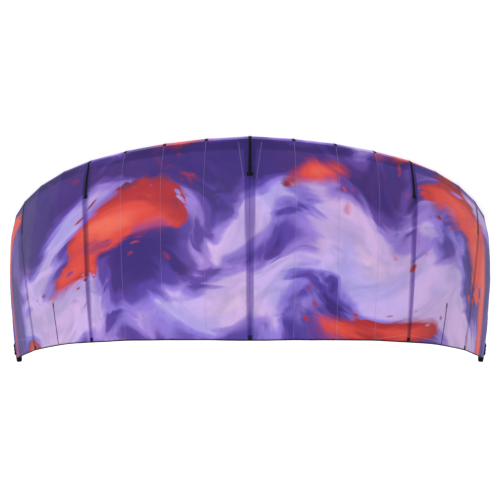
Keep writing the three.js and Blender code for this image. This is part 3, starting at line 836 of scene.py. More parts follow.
def on_canopy(place, rows, lift):
    """Points that lie a given height over the canopy's inner face, ripples and all, with its normals."""
    normals = cloth_normals(place, rows)
    height = (ripple(place, rows) + lift)[..., None]
    return cloth_points(place, rows) + normals * height, normals


def shell(name, inner, outer, layers, material, replaced=()):
    """A closed sheet between two grids of points, with a narrow rim. A layer has a value a point."""
    rows, columns = inner.shape[:2]
    size = rows * columns
    row, column = grid_quads(rows, columns)
    face = row * columns + column
    number = np.arange(size).reshape(rows, columns)
    rim = np.concatenate([number[0, :-1], number[:-1, -1], number[-1, :0:-1], number[:0:-1, 0]])
    following = np.roll(rim, -1)
    rim_faces = np.stack([rim, following, following + size, rim + size], axis=1)
    points = np.concatenate([inner.reshape(-1, 3), outer.reshape(-1, 3)])
    faces = [face[:, ::-1], face + size, rim_faces]
    corner_layers = {}
    for layer, values in layers.items():
        flat = values.reshape(size, -1)
        blocks = [flat[block % size] for block in faces]
        corner_layers[layer] = [block if block.shape[-1] == 2 else block[..., 0] for block in blocks]
    return add_piece(name, points, faces, corner_layers, material, replaced)


CANOPY_SHINE = 0.50  # roughness of the coated cloth
CANOPY_CLEARNESS = 0.15  # share of the light that passes through it
# Painted shade: the canopy's colour is darkened where the tube, a strut or a black cap lies under it,
# standing for their shadow through the thin cloth.
TUBE_SHADE_TINT = (0.32, 0.24, 0.54, 1)  # what its colour is multiplied by where a tube lies right under it
CAP_SHADE_TINT = (0.10, 0.09, 0.10, 1)  # the same where a black cap does
TUBE_SHADE_STRENGTH = 0.62  # how strongly the leading-edge tube shows through
TUBE_BAND_END = (0.36, 0.52)  # how far behind the tube's axis that fades, in its radii
STRUT_SHADES = [
    # joint, half width of the band of painted shade over the strut at the tube and at the trailing edge,
    # how dark, how much lighter its inner side is painted
    (0, 0.053, 0.023, 0.82, 0.0),
    (4, 0.042, 0.022, 0.96, 0.45),
    (7, 0.039, 0.028, 0.60, 0.0),
]
STRUT_BAND_EDGE = (-0.005, 0.003)  # its soft edge, in metres from the half width
CAP_LENGTH = 0.036  # of the black cap on a strut's end
CAP_BLUR = 0.003


def make_canopy_cloth():
    """Thin ripstop polyester: the print with a fine grid of thicker threads, with painted shade in the
    hollows of its creases and over the tubes, struts and caps that lie under it.
    """
    material, tree, output = new_material("canopy_cloth")
    bump, creases = woven_bump(tree, 0.0006, 0.0009, ripstop=0.006)
    # The attribute below carries the painted shade over the tube, the struts and their caps.
    painted_shade = add_node(tree, "ShaderNodeAttribute", attribute_name="painted_shade").outputs["Fac"]
    # Painted shade: the colour is darker in the creases' hollows and lighter on their ridges.
    colour = mix_node(tree, 1.0, add_print(tree), stretched(tree, creases, 0.93, 1.06), "MULTIPLY")
    over_tube = sum_node(tree, "MINIMUM", painted_shade, 1.0)
    over_cap = sum_node(tree, "SUBTRACT", painted_shade, 1.0, clamp=True)
    # Painted shade over the tube and the struts, and a darker painted shade over the caps.
    for share, darkening in ((over_tube, TUBE_SHADE_TINT), (over_cap, CAP_SHADE_TINT)):
        colour = mix_node(tree, share, colour, mix_node(tree, 1.0, colour, darkening, "MULTIPLY"))
    roughness = stretched(tree, creases, CANOPY_SHINE - 0.08, CANOPY_SHINE + 0.10)
    look = {"Base Color": colour, "Roughness": roughness, "Specular IOR Level": 0.24, "Normal": bump}
    face = add_node(tree, "ShaderNodeBsdfPrincipled", look).outputs[0]
    through = add_node(tree, "ShaderNodeBsdfTranslucent", {"Color": colour, "Normal": bump}).outputs[0]
    cloth = add_node(tree, "ShaderNodeMixShader", {0: CANOPY_CLEARNESS, 1: face, 2: through})
    tree.links.new(cloth.outputs[0], output.inputs[0])
    return material


canopy_cloth = make_canopy_cloth()
COLUMNS = 30  # of the cloth's grid, for each tube panel
ARC_STEPS = 8  # of the grid on the tube, up to the crown, and down to the trailing edge
RISE_STEPS = 36
FALL_STEPS = 80
half_places = np.linspace(0, LAST_JOINT, LAST_JOINT * COLUMNS + 1)
half_rows = np.concatenate(
    [
        np.linspace(0, SHOULDER_ROW, ARC_STEPS, endpoint=False),
        np.linspace(SHOULDER_ROW, CROWN_ROW, RISE_STEPS, endpoint=False),
        np.linspace(CROWN_ROW, EDGE_ROW, FALL_STEPS + 1),
    ]
)
row_grid, place_grid = np.meshgrid(half_rows, half_places, indexing="ij")
half_cloth = cloth_points(place_grid, row_grid)
across_steps = np.linalg.norm(np.diff(half_cloth, axis=1), axis=-1)
back_steps = np.linalg.norm(np.diff(half_cloth, axis=0), axis=-1)
half_across = np.concatenate([np.zeros((len(half_rows), 1)), np.cumsum(across_steps, axis=1)], axis=1)
half_back = np.concatenate([np.zeros((1, len(half_places))), np.cumsum(back_steps, axis=0)])


def painted_shade_of_cloth():
    """How much painted shade the cloth gets where something lies right under it: 0 for nothing, 1 for a
    strut, 2 for its cap.

    The tube counts up to about two fifths of its radius behind its axis. The band of painted shade over a
    strut is a little wider than the strut, tapers as it does and has a narrow soft edge: dark x (1 -
    lighter side), so that its inner side is painted lighter.
    """
    joints = np.arange(LAST_JOINT + 1)
    centre = np.stack([np.interp(place_grid, joints, axis[:, way]) for way in range(3)], axis=-1)
    behind = unit(edge - axis)
    towards = np.stack([np.interp(place_grid, joints, behind[:, way]) for way in range(3)], axis=-1)
    radius = np.interp(place_grid, joints, radii)
    over_tube = np.einsum("ijk,ijk->ij", half_cloth - centre, towards) / radius
    painted_shade = TUBE_SHADE_STRENGTH * (1 - ease(over_tube, *TUBE_BAND_END))
    from_shoulder = np.maximum(half_back - half_back[ARC_STEPS], 0)
    whole = np.maximum(from_shoulder[-1:], 0.01)
    for joint, front, back, shows, lighter in STRUT_SHADES:
        outwards = half_across - half_across[:, joint * COLUMNS : joint * COLUMNS + 1]
        reach = front + from_shoulder / whole * (back - front)
        over_strut = 1 - ease(np.abs(outwards), reach + STRUT_BAND_EDGE[0], reach + STRUT_BAND_EDGE[1])
        # A band's inner side is painted lighter, by the share in the last column of STRUT_SHADES.
        inner_side = 1 - ease(outwards / reach, -1.0, 0.3)
        dark = shows * (1 - lighter * inner_side)
        over_cap = 1 - ease(whole - from_shoulder, CAP_LENGTH - CAP_BLUR, CAP_LENGTH + CAP_BLUR)
        dark += over_cap * (2 - dark)
        painted_shade = np.maximum(painted_shade, over_strut * dark)
    return painted_shade


# The painted shade over the tube, the struts and their caps, for one half of the cloth, used on both
# sides.
half_painted_shade = painted_shade_of_cloth()
HAIR = 1e-9  # that the middle column is moved, because a place's sign says which side it is on

for side, side_name in SIDES:
    base, normals = on_canopy(side * np.maximum(place_grid, HAIR), row_grid, 0.0)
    layers = {
        "cloth": np.stack([side * half_across, half_back], axis=-1),
        # The canopy's painted shade over the tube, the struts and their caps.
        "painted_shade": half_painted_shade,
        **print_layers(side * half_across, half_back),
    }
    for start, end, cloth_name in CANOPY_CLOTHS:
        part = np.s_[:, start * COLUMNS : end * COLUMNS + 1]
        cloth = shell(
            f"{cloth_name}_cloth_{side_name}",
            base[part],
            base[part] + normals[part] * CLOTH_THICKNESS,
            {layer: values[part] for layer, values in layers.items()},
            canopy_cloth,
            [f"{cloth_name}_{side_name}"],
        )
        widths = half_across[:, end * COLUMNS] - half_across[:, start * COLUMNS]

# Struts
# Five tapered air tubes hold the canopy in shape. They are sewn along its hollow side, from the tube to
# the trailing edge, and each ends in a black cap of thicker cloth that is gathered round its end.

STRUTS = [
    # joint, name, radius at the tube and at the trailing edge
    (0, "centre", 0.041, 0.022),
    (4, "inner", 0.029, 0.016),
    (7, "outer", 0.025, 0.014),
]
STRUT_DROP = 0.0012  # of a strut under the canopy's inner face
STRUT_SIDES = 48
STRUT_ROWS = 120
STRUT_NECK = 0.02  # share that a strut is drawn in beside its cap
NECK_LENGTH = 0.012
CURVE_STEPS = 400  # points along the cloth from which its length is taken
CAP_GAP = 0.0003
CAP_END_ROOM = 0.0017  # between the cap's end and the trailing edge
CAP_OUTLINE = [
    # share of the cap's length, share of its base radius
    (0.0, 1.0),
    (0.02, 1.035),
    (0.10, 1.035),
    (0.12, 1.0),
    (0.35, 0.99),
    (0.60, 0.94),
    (0.80, 0.84),
    (0.92, 0.71),
    (0.98, 0.56),
    (1.0, 0.40),
]
STITCH_WIDTH = 0.0012
STITCH_PITCH = 0.0042  # from one stitch to the next
STITCH_SHARE = 0.62  # of the pitch that is thread


def seam_stitches(tree, offset):
    """1 on two rows of stitches that run along a piece, a given distance either side of its middle."""
    place = add_node(tree, "ShaderNodeUVMap", uv_map="cloth").outputs[0]
    ways = add_node(tree, "ShaderNodeSeparateXYZ", {0: place})
    beside = sum_node(tree, "ABSOLUTE", ways.outputs[0])
    off_row = sum_node(tree, "ABSOLUTE", sum_node(tree, "SUBTRACT", beside, offset))
    row = sum_node(tree, "LESS_THAN", off_row, STITCH_WIDTH / 2)
    share = sum_node(tree, "FRACT", sum_node(tree, "DIVIDE", ways.outputs[1], STITCH_PITCH))
    dash = sum_node(tree, "LESS_THAN", share, STITCH_SHARE)
    return sum_node(tree, "MULTIPLY", row, dash)


def make_strut_cloth():
    """Heavy polyester in a deep violet that varies a little, with small creases and painted shade in
    their hollows.
    """
    material, tree, output = new_material("strut_cloth")
    bump, creases = woven_bump(tree, 0.0012, 0.0014)
    place = add_node(tree, "ShaderNodeUVMap", uv_map="cloth").outputs[0]
    soft = noise_node(tree, place, 5.0, 2.0).outputs[0]
    colour = ramp_node(tree, soft, [(0.3, srgb(82, 66, 140)), (0.7, srgb(112, 92, 172))])
    # Painted shade: the colour is darker in the creases' hollows and lighter on their ridges.
    colour = mix_node(tree, 1.0, colour, stretched(tree, creases, 0.88, 1.10), "MULTIPLY")
    look = {"Base Color": colour, "Roughness": 0.58, "Specular IOR Level": 0.35, "Normal": bump}
    finish_with(tree, output, {**look, "Sheen Weight": 0.15})
    return material


# Tones of dark cloth from the creases' hollows to their ridges, which paints shade into the creases.
BLACK_TONES = (srgb(8, 5, 13), srgb(14, 10, 22), srgb(28, 23, 38))
VIOLET_TONES = (srgb(62, 46, 92), srgb(76, 58, 108), srgb(90, 72, 122))
STITCH_GREY = srgb(62, 58, 70)


def make_trim_cloth(name, thread, stitch_offset=0.0, tones=BLACK_TONES):
    """Dark woven polyester with painted shade in its creases' hollows, and two rows of stitches if they
    are wanted.
    """
    material, tree, output = new_material(name)
    bump, creases = woven_bump(tree, thread, 0.0010)
    # Painted shade: the tones run from darkest in the creases' hollows to lightest on their ridges.
    colour = ramp_node(tree, creases, list(zip((0.30, 0.62, 0.80), tones)))
    if stitch_offset:
        colour = mix_node(tree, seam_stitches(tree, stitch_offset), colour, STITCH_GREY)
    look = {"Base Color": colour, "Roughness": 0.78, "Specular IOR Level": 0.11, "Normal": bump}
    finish_with(tree, output, {**look, "Sheen Weight": 0.02})
    return material


strut_cloth = make_strut_cloth()
cap_cloth = make_trim_cloth("cap_cloth", 0.0014)


def canopy_rows(place, first_row, distances):
    """The rows at given distances from a first row along the cloth at a place, and its whole length."""
    rows = np.linspace(first_row, EDGE_ROW, CURVE_STEPS)
    points = cloth_points(np.full_like(rows, place), rows)
    travelled = np.concatenate([[0], np.cumsum(np.linalg.norm(np.diff(points, axis=0), axis=-1))])
    return np.interp(distances, travelled, rows), travelled[-1]


def own_sides(joint):
    """The sides that a joint's pieces are made for, with their names' endings: one in the middle."""
    return [(side, f"_{side_name}") for side, side_name in SIDES] if joint else [(1, "")]


def strut_rings(joint, distances, circle_radii, drop):
    """Rings of a strut under the canopy: centre - radius x normal, with the circle across the line."""
    rows, _ = canopy_rows(joint, SHOULDER_ROW, distances)
    place = np.full_like(rows, float(joint))
    points = cloth_points(place, rows)
    normals = cloth_normals(place, rows)
    behind = cloth_points(place, np.minimum(rows + ROW_STEP / 2, EDGE_ROW))
    forward = unit(behind - cloth_points(place, rows - ROW_STEP / 2))
    sides = np.cross(forward, normals)
    centres = points - normals * (circle_radii + drop)[:, None]
    turn = np.linspace(0, 2 * np.pi, STRUT_SIDES, endpoint=False)[None, :, None] + np.pi
    outward = np.cos(turn) * normals[:, None] + np.sin(turn) * sides[:, None]
    return centres[:, None] + outward * circle_radii[:, None, None]


for joint, name, front_radius, back_radius in STRUTS:
    _, whole = canopy_rows(joint, SHOULDER_ROW, 0)
    distances = np.linspace(0, whole - CAP_LENGTH, STRUT_ROWS)
    tube_radii = front_radius + (back_radius - front_radius) * distances / whole
    tube_radii *= 1 - STRUT_NECK * np.exp(-distances[::-1] / NECK_LENGTH)
    rings = strut_rings(joint, distances, tube_radii, STRUT_DROP)
    along, widths = np.array(CAP_OUTLINE).T
    cap_radii = tube_radii[-1] * widths
    cap_places = whole - CAP_LENGTH + CAP_GAP + along * (CAP_LENGTH - CAP_GAP - CAP_END_ROOM)
    cap_drop = STRUT_DROP + (tube_radii[-1] - np.minimum(cap_radii, tube_radii[-1]))
    cap_rings = strut_rings(joint, cap_places, cap_radii, cap_drop)
    for side, ending in own_sides(joint):
        tube = tube_like(
            f"air_strut_{name}{ending}",
            rings * [side, 1, 1],
            {"cloth": cloth_layer(rings)},
            strut_cloth,
            [f"strut_{name}{ending}"],
        )
        tube_like(
            f"strut_end_{name}{ending}",
            cap_rings * [side, 1, 1],
            {"cloth": cloth_layer(cap_rings)},
            cap_cloth,
            [f"strut_cap_{name}{ending}"],
        )

# Seam bands and end caps of the tube
# Black tape is sewn round the tube over every joint between two panels, and a gathered black cap of
# thicker cloth closes the tube at each wing tip.

BAND_WIDTH = 0.028
BAND_RISE = 0.0005
BAND_RIM = 0.0001
BAND_ROOT = -0.0006  # its edges are set a little into the tube, so no gap shows
BAND_SECTION = [
    # share of the half width, height over the tube
    (-1.0, BAND_ROOT),
    (-1.0, BAND_RIM),
    (-0.9, BAND_RISE),
    (-0.3, BAND_RISE),
    (0.3, BAND_RISE),
    (0.9, BAND_RISE),
    (1.0, BAND_RIM),
    (1.0, BAND_ROOT),
]
band_cloth = make_trim_cloth("band_cloth", 0.0010, 0.010)


def band_loops(joint):
    """The loops of one band: each follows the tube a short way to one side of the joint's plane.

    A point is here + (the same point at the next joint - here) x distance / length of the panel.
    """
    half = BAND_WIDTH / 2
    middle = -half if joint == LAST_JOINT else 0.0
    loops = []
    offsets = []
    for share, growth in BAND_SECTION:
        distance = middle + share * half
        here = ring_points(joint, TUBE_DEGREES, growth)
        if distance < 0 and joint == 0:
            neighbour = ring_points(1, TUBE_DEGREES, growth) * MIRROR
            panel = 0
        elif distance < 0:
            neighbour = ring_points(joint - 1, TUBE_DEGREES, growth)
            panel = joint - 1
        else:
            neighbour = ring_points(min(joint + 1, LAST_JOINT), TUBE_DEGREES, growth)
            panel = min(joint, LAST_JOINT - 1)
        loop = here + (neighbour - here) * abs(distance) / lengths[panel]
        loop[:, 2] = np.maximum(loop[:, 2], 0)
        loops.append(loop)
        offsets.append(distance - middle)
    return np.array(loops), np.array(offsets)


def band_piece(name, side, joints):
    """All the bands of one side as one piece."""
    points = []
    faces = []
    uvs = []
    for joint in joints:
        loops, offsets = band_loops(joint)
        count, sides = loops.shape[:2]
        row, column = grid_quads(count + 1, sides + 1)
        faces.append((row % count) * sides + column % sides + sum(len(block) for block in points))
        around = np.arange(sides + 1) * 2 * np.pi * radii[joint] / sides
        uvs.append(np.stack([offsets[row % count], around[column]], axis=-1))
        points.append(loops.reshape(-1, 3) * [side, 1, 1])
    return add_piece(name, np.concatenate(points), faces, {"cloth": uvs}, band_cloth)


band_piece("seam_bands_right", 1, range(LAST_JOINT + 1))
band_piece("seam_bands_left", -1, range(1, LAST_JOINT + 1))

TUBE_CAP_OUTLINE = [
    # metres past the last joint, share of the tube's radius
    (0.0003, 1.0),
    (0.0010, 1.03),
    (0.0080, 1.03),
    (0.0090, 1.0),
    (0.0180, 0.985),
    (0.0270, 0.95),
    (0.0340, 0.88),
    (0.0390, 0.78),
    (0.0415, 0.66),
    (0.0420, 0.50),
    (0.0410, 0.20),
]
PLEATS = 12
PLEAT_DEPTH = 0.012
PLEAT_PLACE = 0.02  # metres past the joint at which they are that deep; they deepen all the way
cap_degrees = np.linspace(0, 360, STRUT_SIDES, endpoint=False)
cap_base = ring_points(LAST_JOINT, cap_degrees)
cap_pleats = 1 + PLEAT_DEPTH * np.sin(np.radians(cap_degrees) * PLEATS)
tube_cap_rings = np.array(
    [
        axis[-1]
        + (cap_base - axis[-1]) * (width * cap_pleats ** (distance / PLEAT_PLACE))[:, None]
        + spans[-1] * distance
        for distance, width in TUBE_CAP_OUTLINE
    ]
)
for side, side_name in SIDES:
    tube_like(
        f"tube_end_{side_name}",
        tube_cap_rings * [side, 1, 1],
        {"cloth": cloth_layer(tube_cap_rings)},
        cap_cloth,
        [f"tube_end_cap_{side_name}"],
    )

# Tapes and patches on the canopy
# Narrow clear tape covers the seams between the cuts of the canopy, and the seams of the stiffer cloth
# that is set in beside the centre strut and along the trailing edge. Black patches with a wider foot
# strengthen the canopy over the front of each strut.

SEWN_GAP = 0.0002  # between the cloth and the underside of what is sewn on it
RIM = 0.0001  # thickness of a tape or patch at its sides
TAPE_WIDTH = 0.006
TAPE_RISE = 0.0004
TAPE_COLUMNS = 4
TAPE_STEPS = 150  # along a whole seam
TAPE_START = 0.004  # from the seam on the tube
TAPE_END = 0.002  # from the trailing edge
SET_IN_STEPS = 20  # for each turning point of a set-in seam
TAPE_CLOUDING = 0.16  # share of the tape's own grey in its colour
# the tape's own grey, darker in the creases' hollows as painted shade
TAPE_GREYS = [(0.3, srgb(138, 122, 152)), (0.7, srgb(160, 144, 170))]
THREAD_COLOUR = srgb(170, 156, 184)
THREAD_SHOWS = 0.30  # share of the pale thread over it
THREAD_WIDTH = 0.0010
ZIGZAG_STEP = 0.003  # along the tape, from one side of the zigzag to the other
ZIGZAG_WIDTH = 0.0036
PATCH_RISE = 0.0010
STRIP_COLUMNS = 13  # of a patch, a pocket or a tab
PATCH_STEPS = 40
PATCH_FRONT_WIDTH = 0.022
FOOT_STEPS = 14
FOOT_LENGTH = 0.026
FOOT_FLARE = 0.010
FLARE_END = 0.004  # past the start of the foot
ROUNDING = 0.008  # length of the foot's rounded corners
ROUNDED_OFF = 0.22  # share of the width that they take away
PATCHES = [
    # joint, name, length, width, width of the foot
    (0, "centre", 0.320, 0.032, 0.054),
    (4, "inner", 0.315, 0.032, 0.046),
    (7, "outer", 0.305, 0.028, 0.036),
]
SET_IN_SEAMS = [
    # name, then turning points: a place in tube joints, and metres back from the seam on the tube or,
    # where that is below zero, on from the trailing edge
    ("centre", [(0.26, 0.03), (0.14, 0.34)]),
    ("edge_inner", [(3.0, -0.008), (3.94, -0.062)]),
    ("edge_middle", [(4.06, -0.056), (4.7, -0.040), (5.5, -0.016)]),
    ("edge_outer", [(4.75, -0.038), (5.8, -0.022), (6.94, -0.078)]),
    ("tip", [(7.05, -0.092), (9.0, -0.128), (10.3, -0.154)]),
]


def make_seam_tape():
    """Clear tape that clouds the print a little, sewn with zigzag stitches of pale thread.

    The thread's middle swings from side to side of the tape: width x (triangle wave - a half).
    """
    material, tree, output = new_material("seam_tape")
    bump, creases = woven_bump(tree, 0.0008, 0.0006)
    place = add_node(tree, "ShaderNodeUVMap", uv_map="cloth").outputs[0]
    ways = add_node(tree, "ShaderNodeSeparateXYZ", {0: place})
    swing = sum_node(tree, "PINGPONG", ways.outputs[1], ZIGZAG_STEP)
    swing = sum_node(tree, "MULTIPLY_ADD", swing, ZIGZAG_WIDTH / ZIGZAG_STEP, -ZIGZAG_WIDTH / 2)
    off = sum_node(tree, "ABSOLUTE", sum_node(tree, "SUBTRACT", ways.outputs[0], swing))
    stitch = sum_node(tree, "LESS_THAN", off, THREAD_WIDTH / 2)
    # The tape's own grey is darker in the creases' hollows: painted shade.
    colour = mix_node(tree, TAPE_CLOUDING, add_print(tree), ramp_node(tree, creases, TAPE_GREYS))
    thread = sum_node(tree, "MULTIPLY", stitch, THREAD_SHOWS)
    colour = mix_node(tree, thread, colour, THREAD_COLOUR)
    look = {"Base Color": colour, "Roughness": 0.50, "Specular IOR Level": 0.3, "Normal": bump}
    finish_with(tree, output, look)
    return material


seam_tape = make_seam_tape()
patch_cloth = make_trim_cloth("patch_cloth", 0.0016, 0.010)


def cloth_metres(places, rows):
    """Metres across and back on the cloth: a blend of the four nearest points of its grid."""
    column = np.abs(places) * COLUMNS
    row = np.interp(rows, half_rows, np.arange(len(half_rows)))
    left = np.minimum(column.astype(int), len(half_places) - 2)
    upper = np.minimum(row.astype(int), len(half_rows) - 2)
    blends = []
    for grid in (half_across, half_back):
        near, far = (
            grid[line, left] + (column - left) * (grid[line, left + 1] - grid[line, left])
            for line in (upper, upper + 1)
        )
        blends.append(near + (row - upper) * (far - near))
    return np.sign(places) * blends[0], blends[1]


def rows_along(places, metres):
    """The rows at distances back along the cloth, or on from the trailing edge where below zero.

    Each lies in a straight line between two neighbours in the nearest column of the cloth's grid.
    """
    columns = half_back[:, np.round(np.abs(places) * COLUMNS).astype(int)]
    metres = np.where(metres < 0, columns[-1] + metres, metres)
    upper = np.clip((columns <= metres).sum(axis=0) - 1, 0, len(half_rows) - 2)
    each = np.arange(len(places))
    share = (metres - columns[upper, each]) / (columns[upper + 1, each] - columns[upper, each])
    return half_rows[upper] + share * (half_rows[upper + 1] - half_rows[upper])


def tape_line(name, places, rows):
    """A narrow tape along a line on the canopy: middle + offset x half width x (forward x normal)."""
    middle, normals = on_canopy(places, rows, CLOTH_THICKNESS + SEWN_GAP)
    forward = unit(np.gradient(middle, axis=0))
    travelled = np.concatenate([[0], np.cumsum(np.linalg.norm(np.diff(middle, axis=0), axis=-1))])
    offsets = np.linspace(-1, 1, TAPE_COLUMNS)
    beside = np.broadcast_to(TAPE_WIDTH / 2 * offsets, (len(rows), TAPE_COLUMNS))
    bottom = middle[:, None] + beside[..., None] * np.cross(forward, normals)[:, None]
    rise = RIM + TAPE_RISE * (1 - offsets**6)
    metres = (*cloth_metres(places, rows), travelled)
    across, back, along = (np.broadcast_to(values[:, None], beside.shape) for values in metres)
    layers = {"cloth": np.stack([beside, along], axis=-1), **print_layers(across, back)}
    top = bottom + normals[:, None] * rise[None, :, None]
    return shell(name, bottom, top, layers, seam_tape)


def canopy_strip(name, place, distances, half_widths, rise, material, replaced=()):
    """A strip that lies on the canopy's top side at one place, from distance to distance.

    Its columns are spread by half width x offset across the cloth, and its top is highest in the
    middle: rise x (1 - offset^6). Every point follows the cloth's ripples.
    """
    rows, _ = canopy_rows(abs(place), 0, distances)
    near = np.full_like(rows, abs(place))
    half_panel = cloth_points(near + 0.25, rows) - cloth_points(near - 0.25, rows)
    panel_width = np.linalg.norm(half_panel, axis=-1) / 0.5
    offsets = np.linspace(-1, 1, STRIP_COLUMNS)
    beside = half_widths[:, None] * offsets
    places = place + beside / panel_width[:, None]
    rows = np.broadcast_to(rows[:, None], places.shape)
    bottom, normals = on_canopy(places, rows, CLOTH_THICKNESS + SEWN_GAP)
    top = bottom + normals * (RIM + rise * (1 - offsets**6))[None, :, None]
    layers = {"cloth": np.stack([beside, np.broadcast_to(distances[:, None], beside.shape)], axis=-1)}
    return shell(name, bottom, top, layers, material, replaced)


for side, side_name in SIDES:
    for joint in (1, 2, 3):
        _, whole = canopy_rows(joint, 0, 0)
        rows, _ = canopy_rows(joint, 0, np.linspace(TAPE_START, whole - TAPE_END, TAPE_STEPS))
        tape_line(f"seam_tape_{joint}_{side_name}", np.full_like(rows, float(side * joint)), rows)
    for name, points in SET_IN_SEAMS:
        turns = np.arange(len(points))
        stops = np.linspace(0, turns[-1], SET_IN_STEPS * len(points))
        places, metres = (np.interp(stops, turns, values) for values in np.array(points).T)
        tape_line(f"seam_tape_{name}_{side_name}", side * places, rows_along(places, metres))

for joint, name, length, width, foot_width in PATCHES:
    foot_start = length - FOOT_LENGTH
    strip_places = np.linspace(0, foot_start - FOOT_FLARE, PATCH_STEPS)
    distances = np.concatenate([strip_places, np.linspace(foot_start, length, FOOT_STEPS)])
    run = np.clip(distances / foot_start, 0, 1)
    flare = ease(distances, foot_start - FOOT_FLARE, foot_start + FLARE_END)
    strip_width = PATCH_FRONT_WIDTH + run * (width - PATCH_FRONT_WIDTH)
    half_widths = (strip_width + flare * (foot_width - strip_width)) / 2
    rounded = np.clip((distances - (length - ROUNDING)) / ROUNDING, 0, 1)
    half_widths *= 1 - ROUNDED_OFF * rounded**2
    for side, ending in own_sides(joint):
        canopy_strip(
            f"strut_reinforcement_{name}{ending}",
            side * joint,
            distances,
            half_widths,
            PATCH_RISE,
            patch_cloth,
            [f"strut_patch_{name}{ending}"],
        )

# Trailing edge
# A narrow dark tape is folded over the whole trailing edge. Between the inner and the outer strut a
# slim batten in a sewn pocket keeps the edge from fluttering. A small black patch is sewn over the
# pocket's front end, and another at the trailing edge over each of those struts.

BINDING_HEIGHT = 0.009
BINDING_THICKNESS = 0.003
BINDING_OVERLAP = 0.0015  # of the binding over the cloth's edge
BINDING_LIFT = 0.0006  # of its middle over the middle of the cloth
BINDING_SIDES = 12
BINDING_STEPS = 16  # for each tube panel
EDGE_STEP = 0.05  # of a tube panel, over which the edge's direction is taken
BATTEN_PLACE = 5.5  # in tube joints from the middle
BATTEN_LENGTH = 0.345
BATTEN_WIDTH = 0.012
BATTEN_RISE = 0.0018
BATTEN_STEPS = 60
BATTEN_END_ROOM = 0.004  # from the pocket's end to the trailing edge
HEAD_LENGTH = 0.044  # of the black patch over the pocket's front end
HEAD_WIDTH = 0.018
HEAD_RISE = 0.0026
HEAD_STEPS = 24
HEAD_PAST = 0.8  # share of its length that lies in front of the pocket
HEAD_ROUNDED_OFF = 0.45  # share of its width that is gone at its two ends
TAB_LENGTH = 0.034  # of the black patch at the end of each strut but the centre one
TAB_WIDTH = 0.026
TAB_RISE = 0.0006
TAB_STEPS = 16
TAB_END_ROOM = 0.001
binding_cloth = make_trim_cloth("binding_cloth", 0.0009)


def binding_rings():
    """Sections of the folded tape along the edge: a squared oval, x^4 + y^4 = 1, behind the cloth."""
    places = np.linspace(-LAST_JOINT, LAST_JOINT, LAST_JOINT * 2 * BINDING_STEPS + 1)
    rows = np.full_like(places, float(EDGE_ROW))
    middle, normals = on_canopy(places, rows, CLOTH_THICKNESS / 2 + BINDING_LIFT)
    ahead = cloth_points(np.minimum(places + EDGE_STEP, LAST_JOINT), rows)
    edge_line = unit(ahead - cloth_points(np.maximum(places - EDGE_STEP, -LAST_JOINT), rows))
    backward = np.cross(normals, edge_line)
    turn = np.linspace(0, 2 * np.pi, BINDING_SIDES, endpoint=False)
    size = (np.cos(turn) ** 4 + np.sin(turn) ** 4) ** -0.25
    behind = -BINDING_OVERLAP + BINDING_HEIGHT / 2 * (1 + size * np.cos(turn))
    proud = BINDING_THICKNESS / 2 * size * np.sin(turn)
    rings = middle[:, None] + behind[None, :, None] * backward[:, None]
    return rings + proud[None, :, None] * normals[:, None]


rings = binding_rings()
tube_like(
    "edge_binding",
    rings,
    {"cloth": cloth_layer(rings)},
    binding_cloth,
    ["trailing_edge_binding"],
)

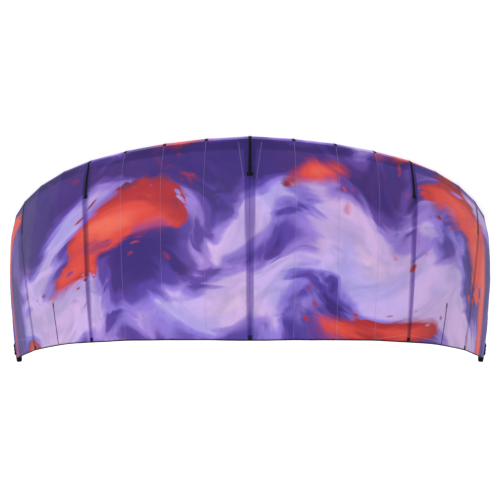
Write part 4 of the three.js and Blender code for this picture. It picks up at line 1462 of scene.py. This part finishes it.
pocket_cloth = make_trim_cloth("pocket_cloth", 0.0010, 0.0045, VIOLET_TONES)
_, whole = canopy_rows(BATTEN_PLACE, 0, 0)
distances = np.linspace(whole - BATTEN_LENGTH, whole - BATTEN_END_ROOM, BATTEN_STEPS)
head_distances = distances[0] - HEAD_LENGTH * HEAD_PAST + np.linspace(0, HEAD_LENGTH, HEAD_STEPS)
head_narrowing = HEAD_ROUNDED_OFF * np.abs(np.linspace(-1, 1, HEAD_STEPS)) ** 3
for side, side_name in SIDES:
    canopy_strip(
        f"batten_pocket_{side_name}",
        side * BATTEN_PLACE,
        distances,
        np.full_like(distances, BATTEN_WIDTH / 2),
        BATTEN_RISE,
        pocket_cloth,
        [f"batten_{side_name}"],
    )
    canopy_strip(
        f"batten_head_{side_name}",
        side * BATTEN_PLACE,
        head_distances,
        HEAD_WIDTH / 2 * (1 - head_narrowing),
        HEAD_RISE,
        patch_cloth,
    )
    for joint, name, _, _ in STRUTS[1:]:
        _, whole = canopy_rows(joint, 0, 0)
        canopy_strip(
            f"edge_tab_{name}_{side_name}",
            side * joint,
            np.linspace(whole - TAB_LENGTH, whole - TAB_END_ROOM, TAB_STEPS),
            np.full(TAB_STEPS, TAB_WIDTH / 2),
            TAB_RISE,
            patch_cloth,
        )

# Line webbing
# A short length of black webbing is sewn on the canopy along the tube near each wing tip. It is sewn
# down at four places, and stands up in three low folds between them, where a line can be tied.

WEBBING_LENGTH = 0.120
WEBBING_WIDTH = 0.018
WEBBING_RISE = 0.0026
WEBBING_GAP = 0.0004  # between the cloth and its underside
WEBBING_STEPS = 40
WEBBING_COLUMNS = 9
WEBBING_FOLDS = 3
FOLD_RISE = 0.0100
WEBBING_FROM_END = 0.030
WEBBING_BEHIND = 0.013  # its middle's distance behind the line where the canopy leaves the tube
webbing_cloth = make_trim_cloth("webbing", 0.0022, 0.0065)


def webbing_grid():
    """Points of the webbing's underside, with their normals, in lines along the tube."""
    from_end = np.linspace(WEBBING_FROM_END + WEBBING_LENGTH, WEBBING_FROM_END, WEBBING_STEPS)
    offsets = np.linspace(-1, 1, WEBBING_COLUMNS) * WEBBING_WIDTH / 2
    places = LAST_JOINT - from_end / lengths[-1]
    rows = np.array([canopy_rows(place, SHOULDER_ROW, WEBBING_BEHIND + offsets)[0] for place in places])
    places = np.broadcast_to(places[:, None], rows.shape)
    points, normals = on_canopy(places, rows, CLOTH_THICKNESS + WEBBING_GAP)
    uv = np.stack(np.broadcast_arrays(offsets[None, :], from_end[:, None]), axis=-1)
    return points, normals, uv


webbing_bottom, webbing_normals, webbing_uv = webbing_grid()
folds = np.abs(np.sin(np.linspace(0, WEBBING_FOLDS * np.pi, WEBBING_STEPS))) ** 0.7
webbing_rise = WEBBING_RISE + FOLD_RISE * folds
webbing_top = webbing_bottom + webbing_normals * webbing_rise[:, None, None]
for side, side_name in SIDES:
    shell(
        f"line_webbing_{side_name}",
        webbing_bottom * [side, 1, 1],
        webbing_top * [side, 1, 1],
        {"cloth": webbing_uv},
        webbing_cloth,
        [f"tip_webbing_{side_name}"],
    )
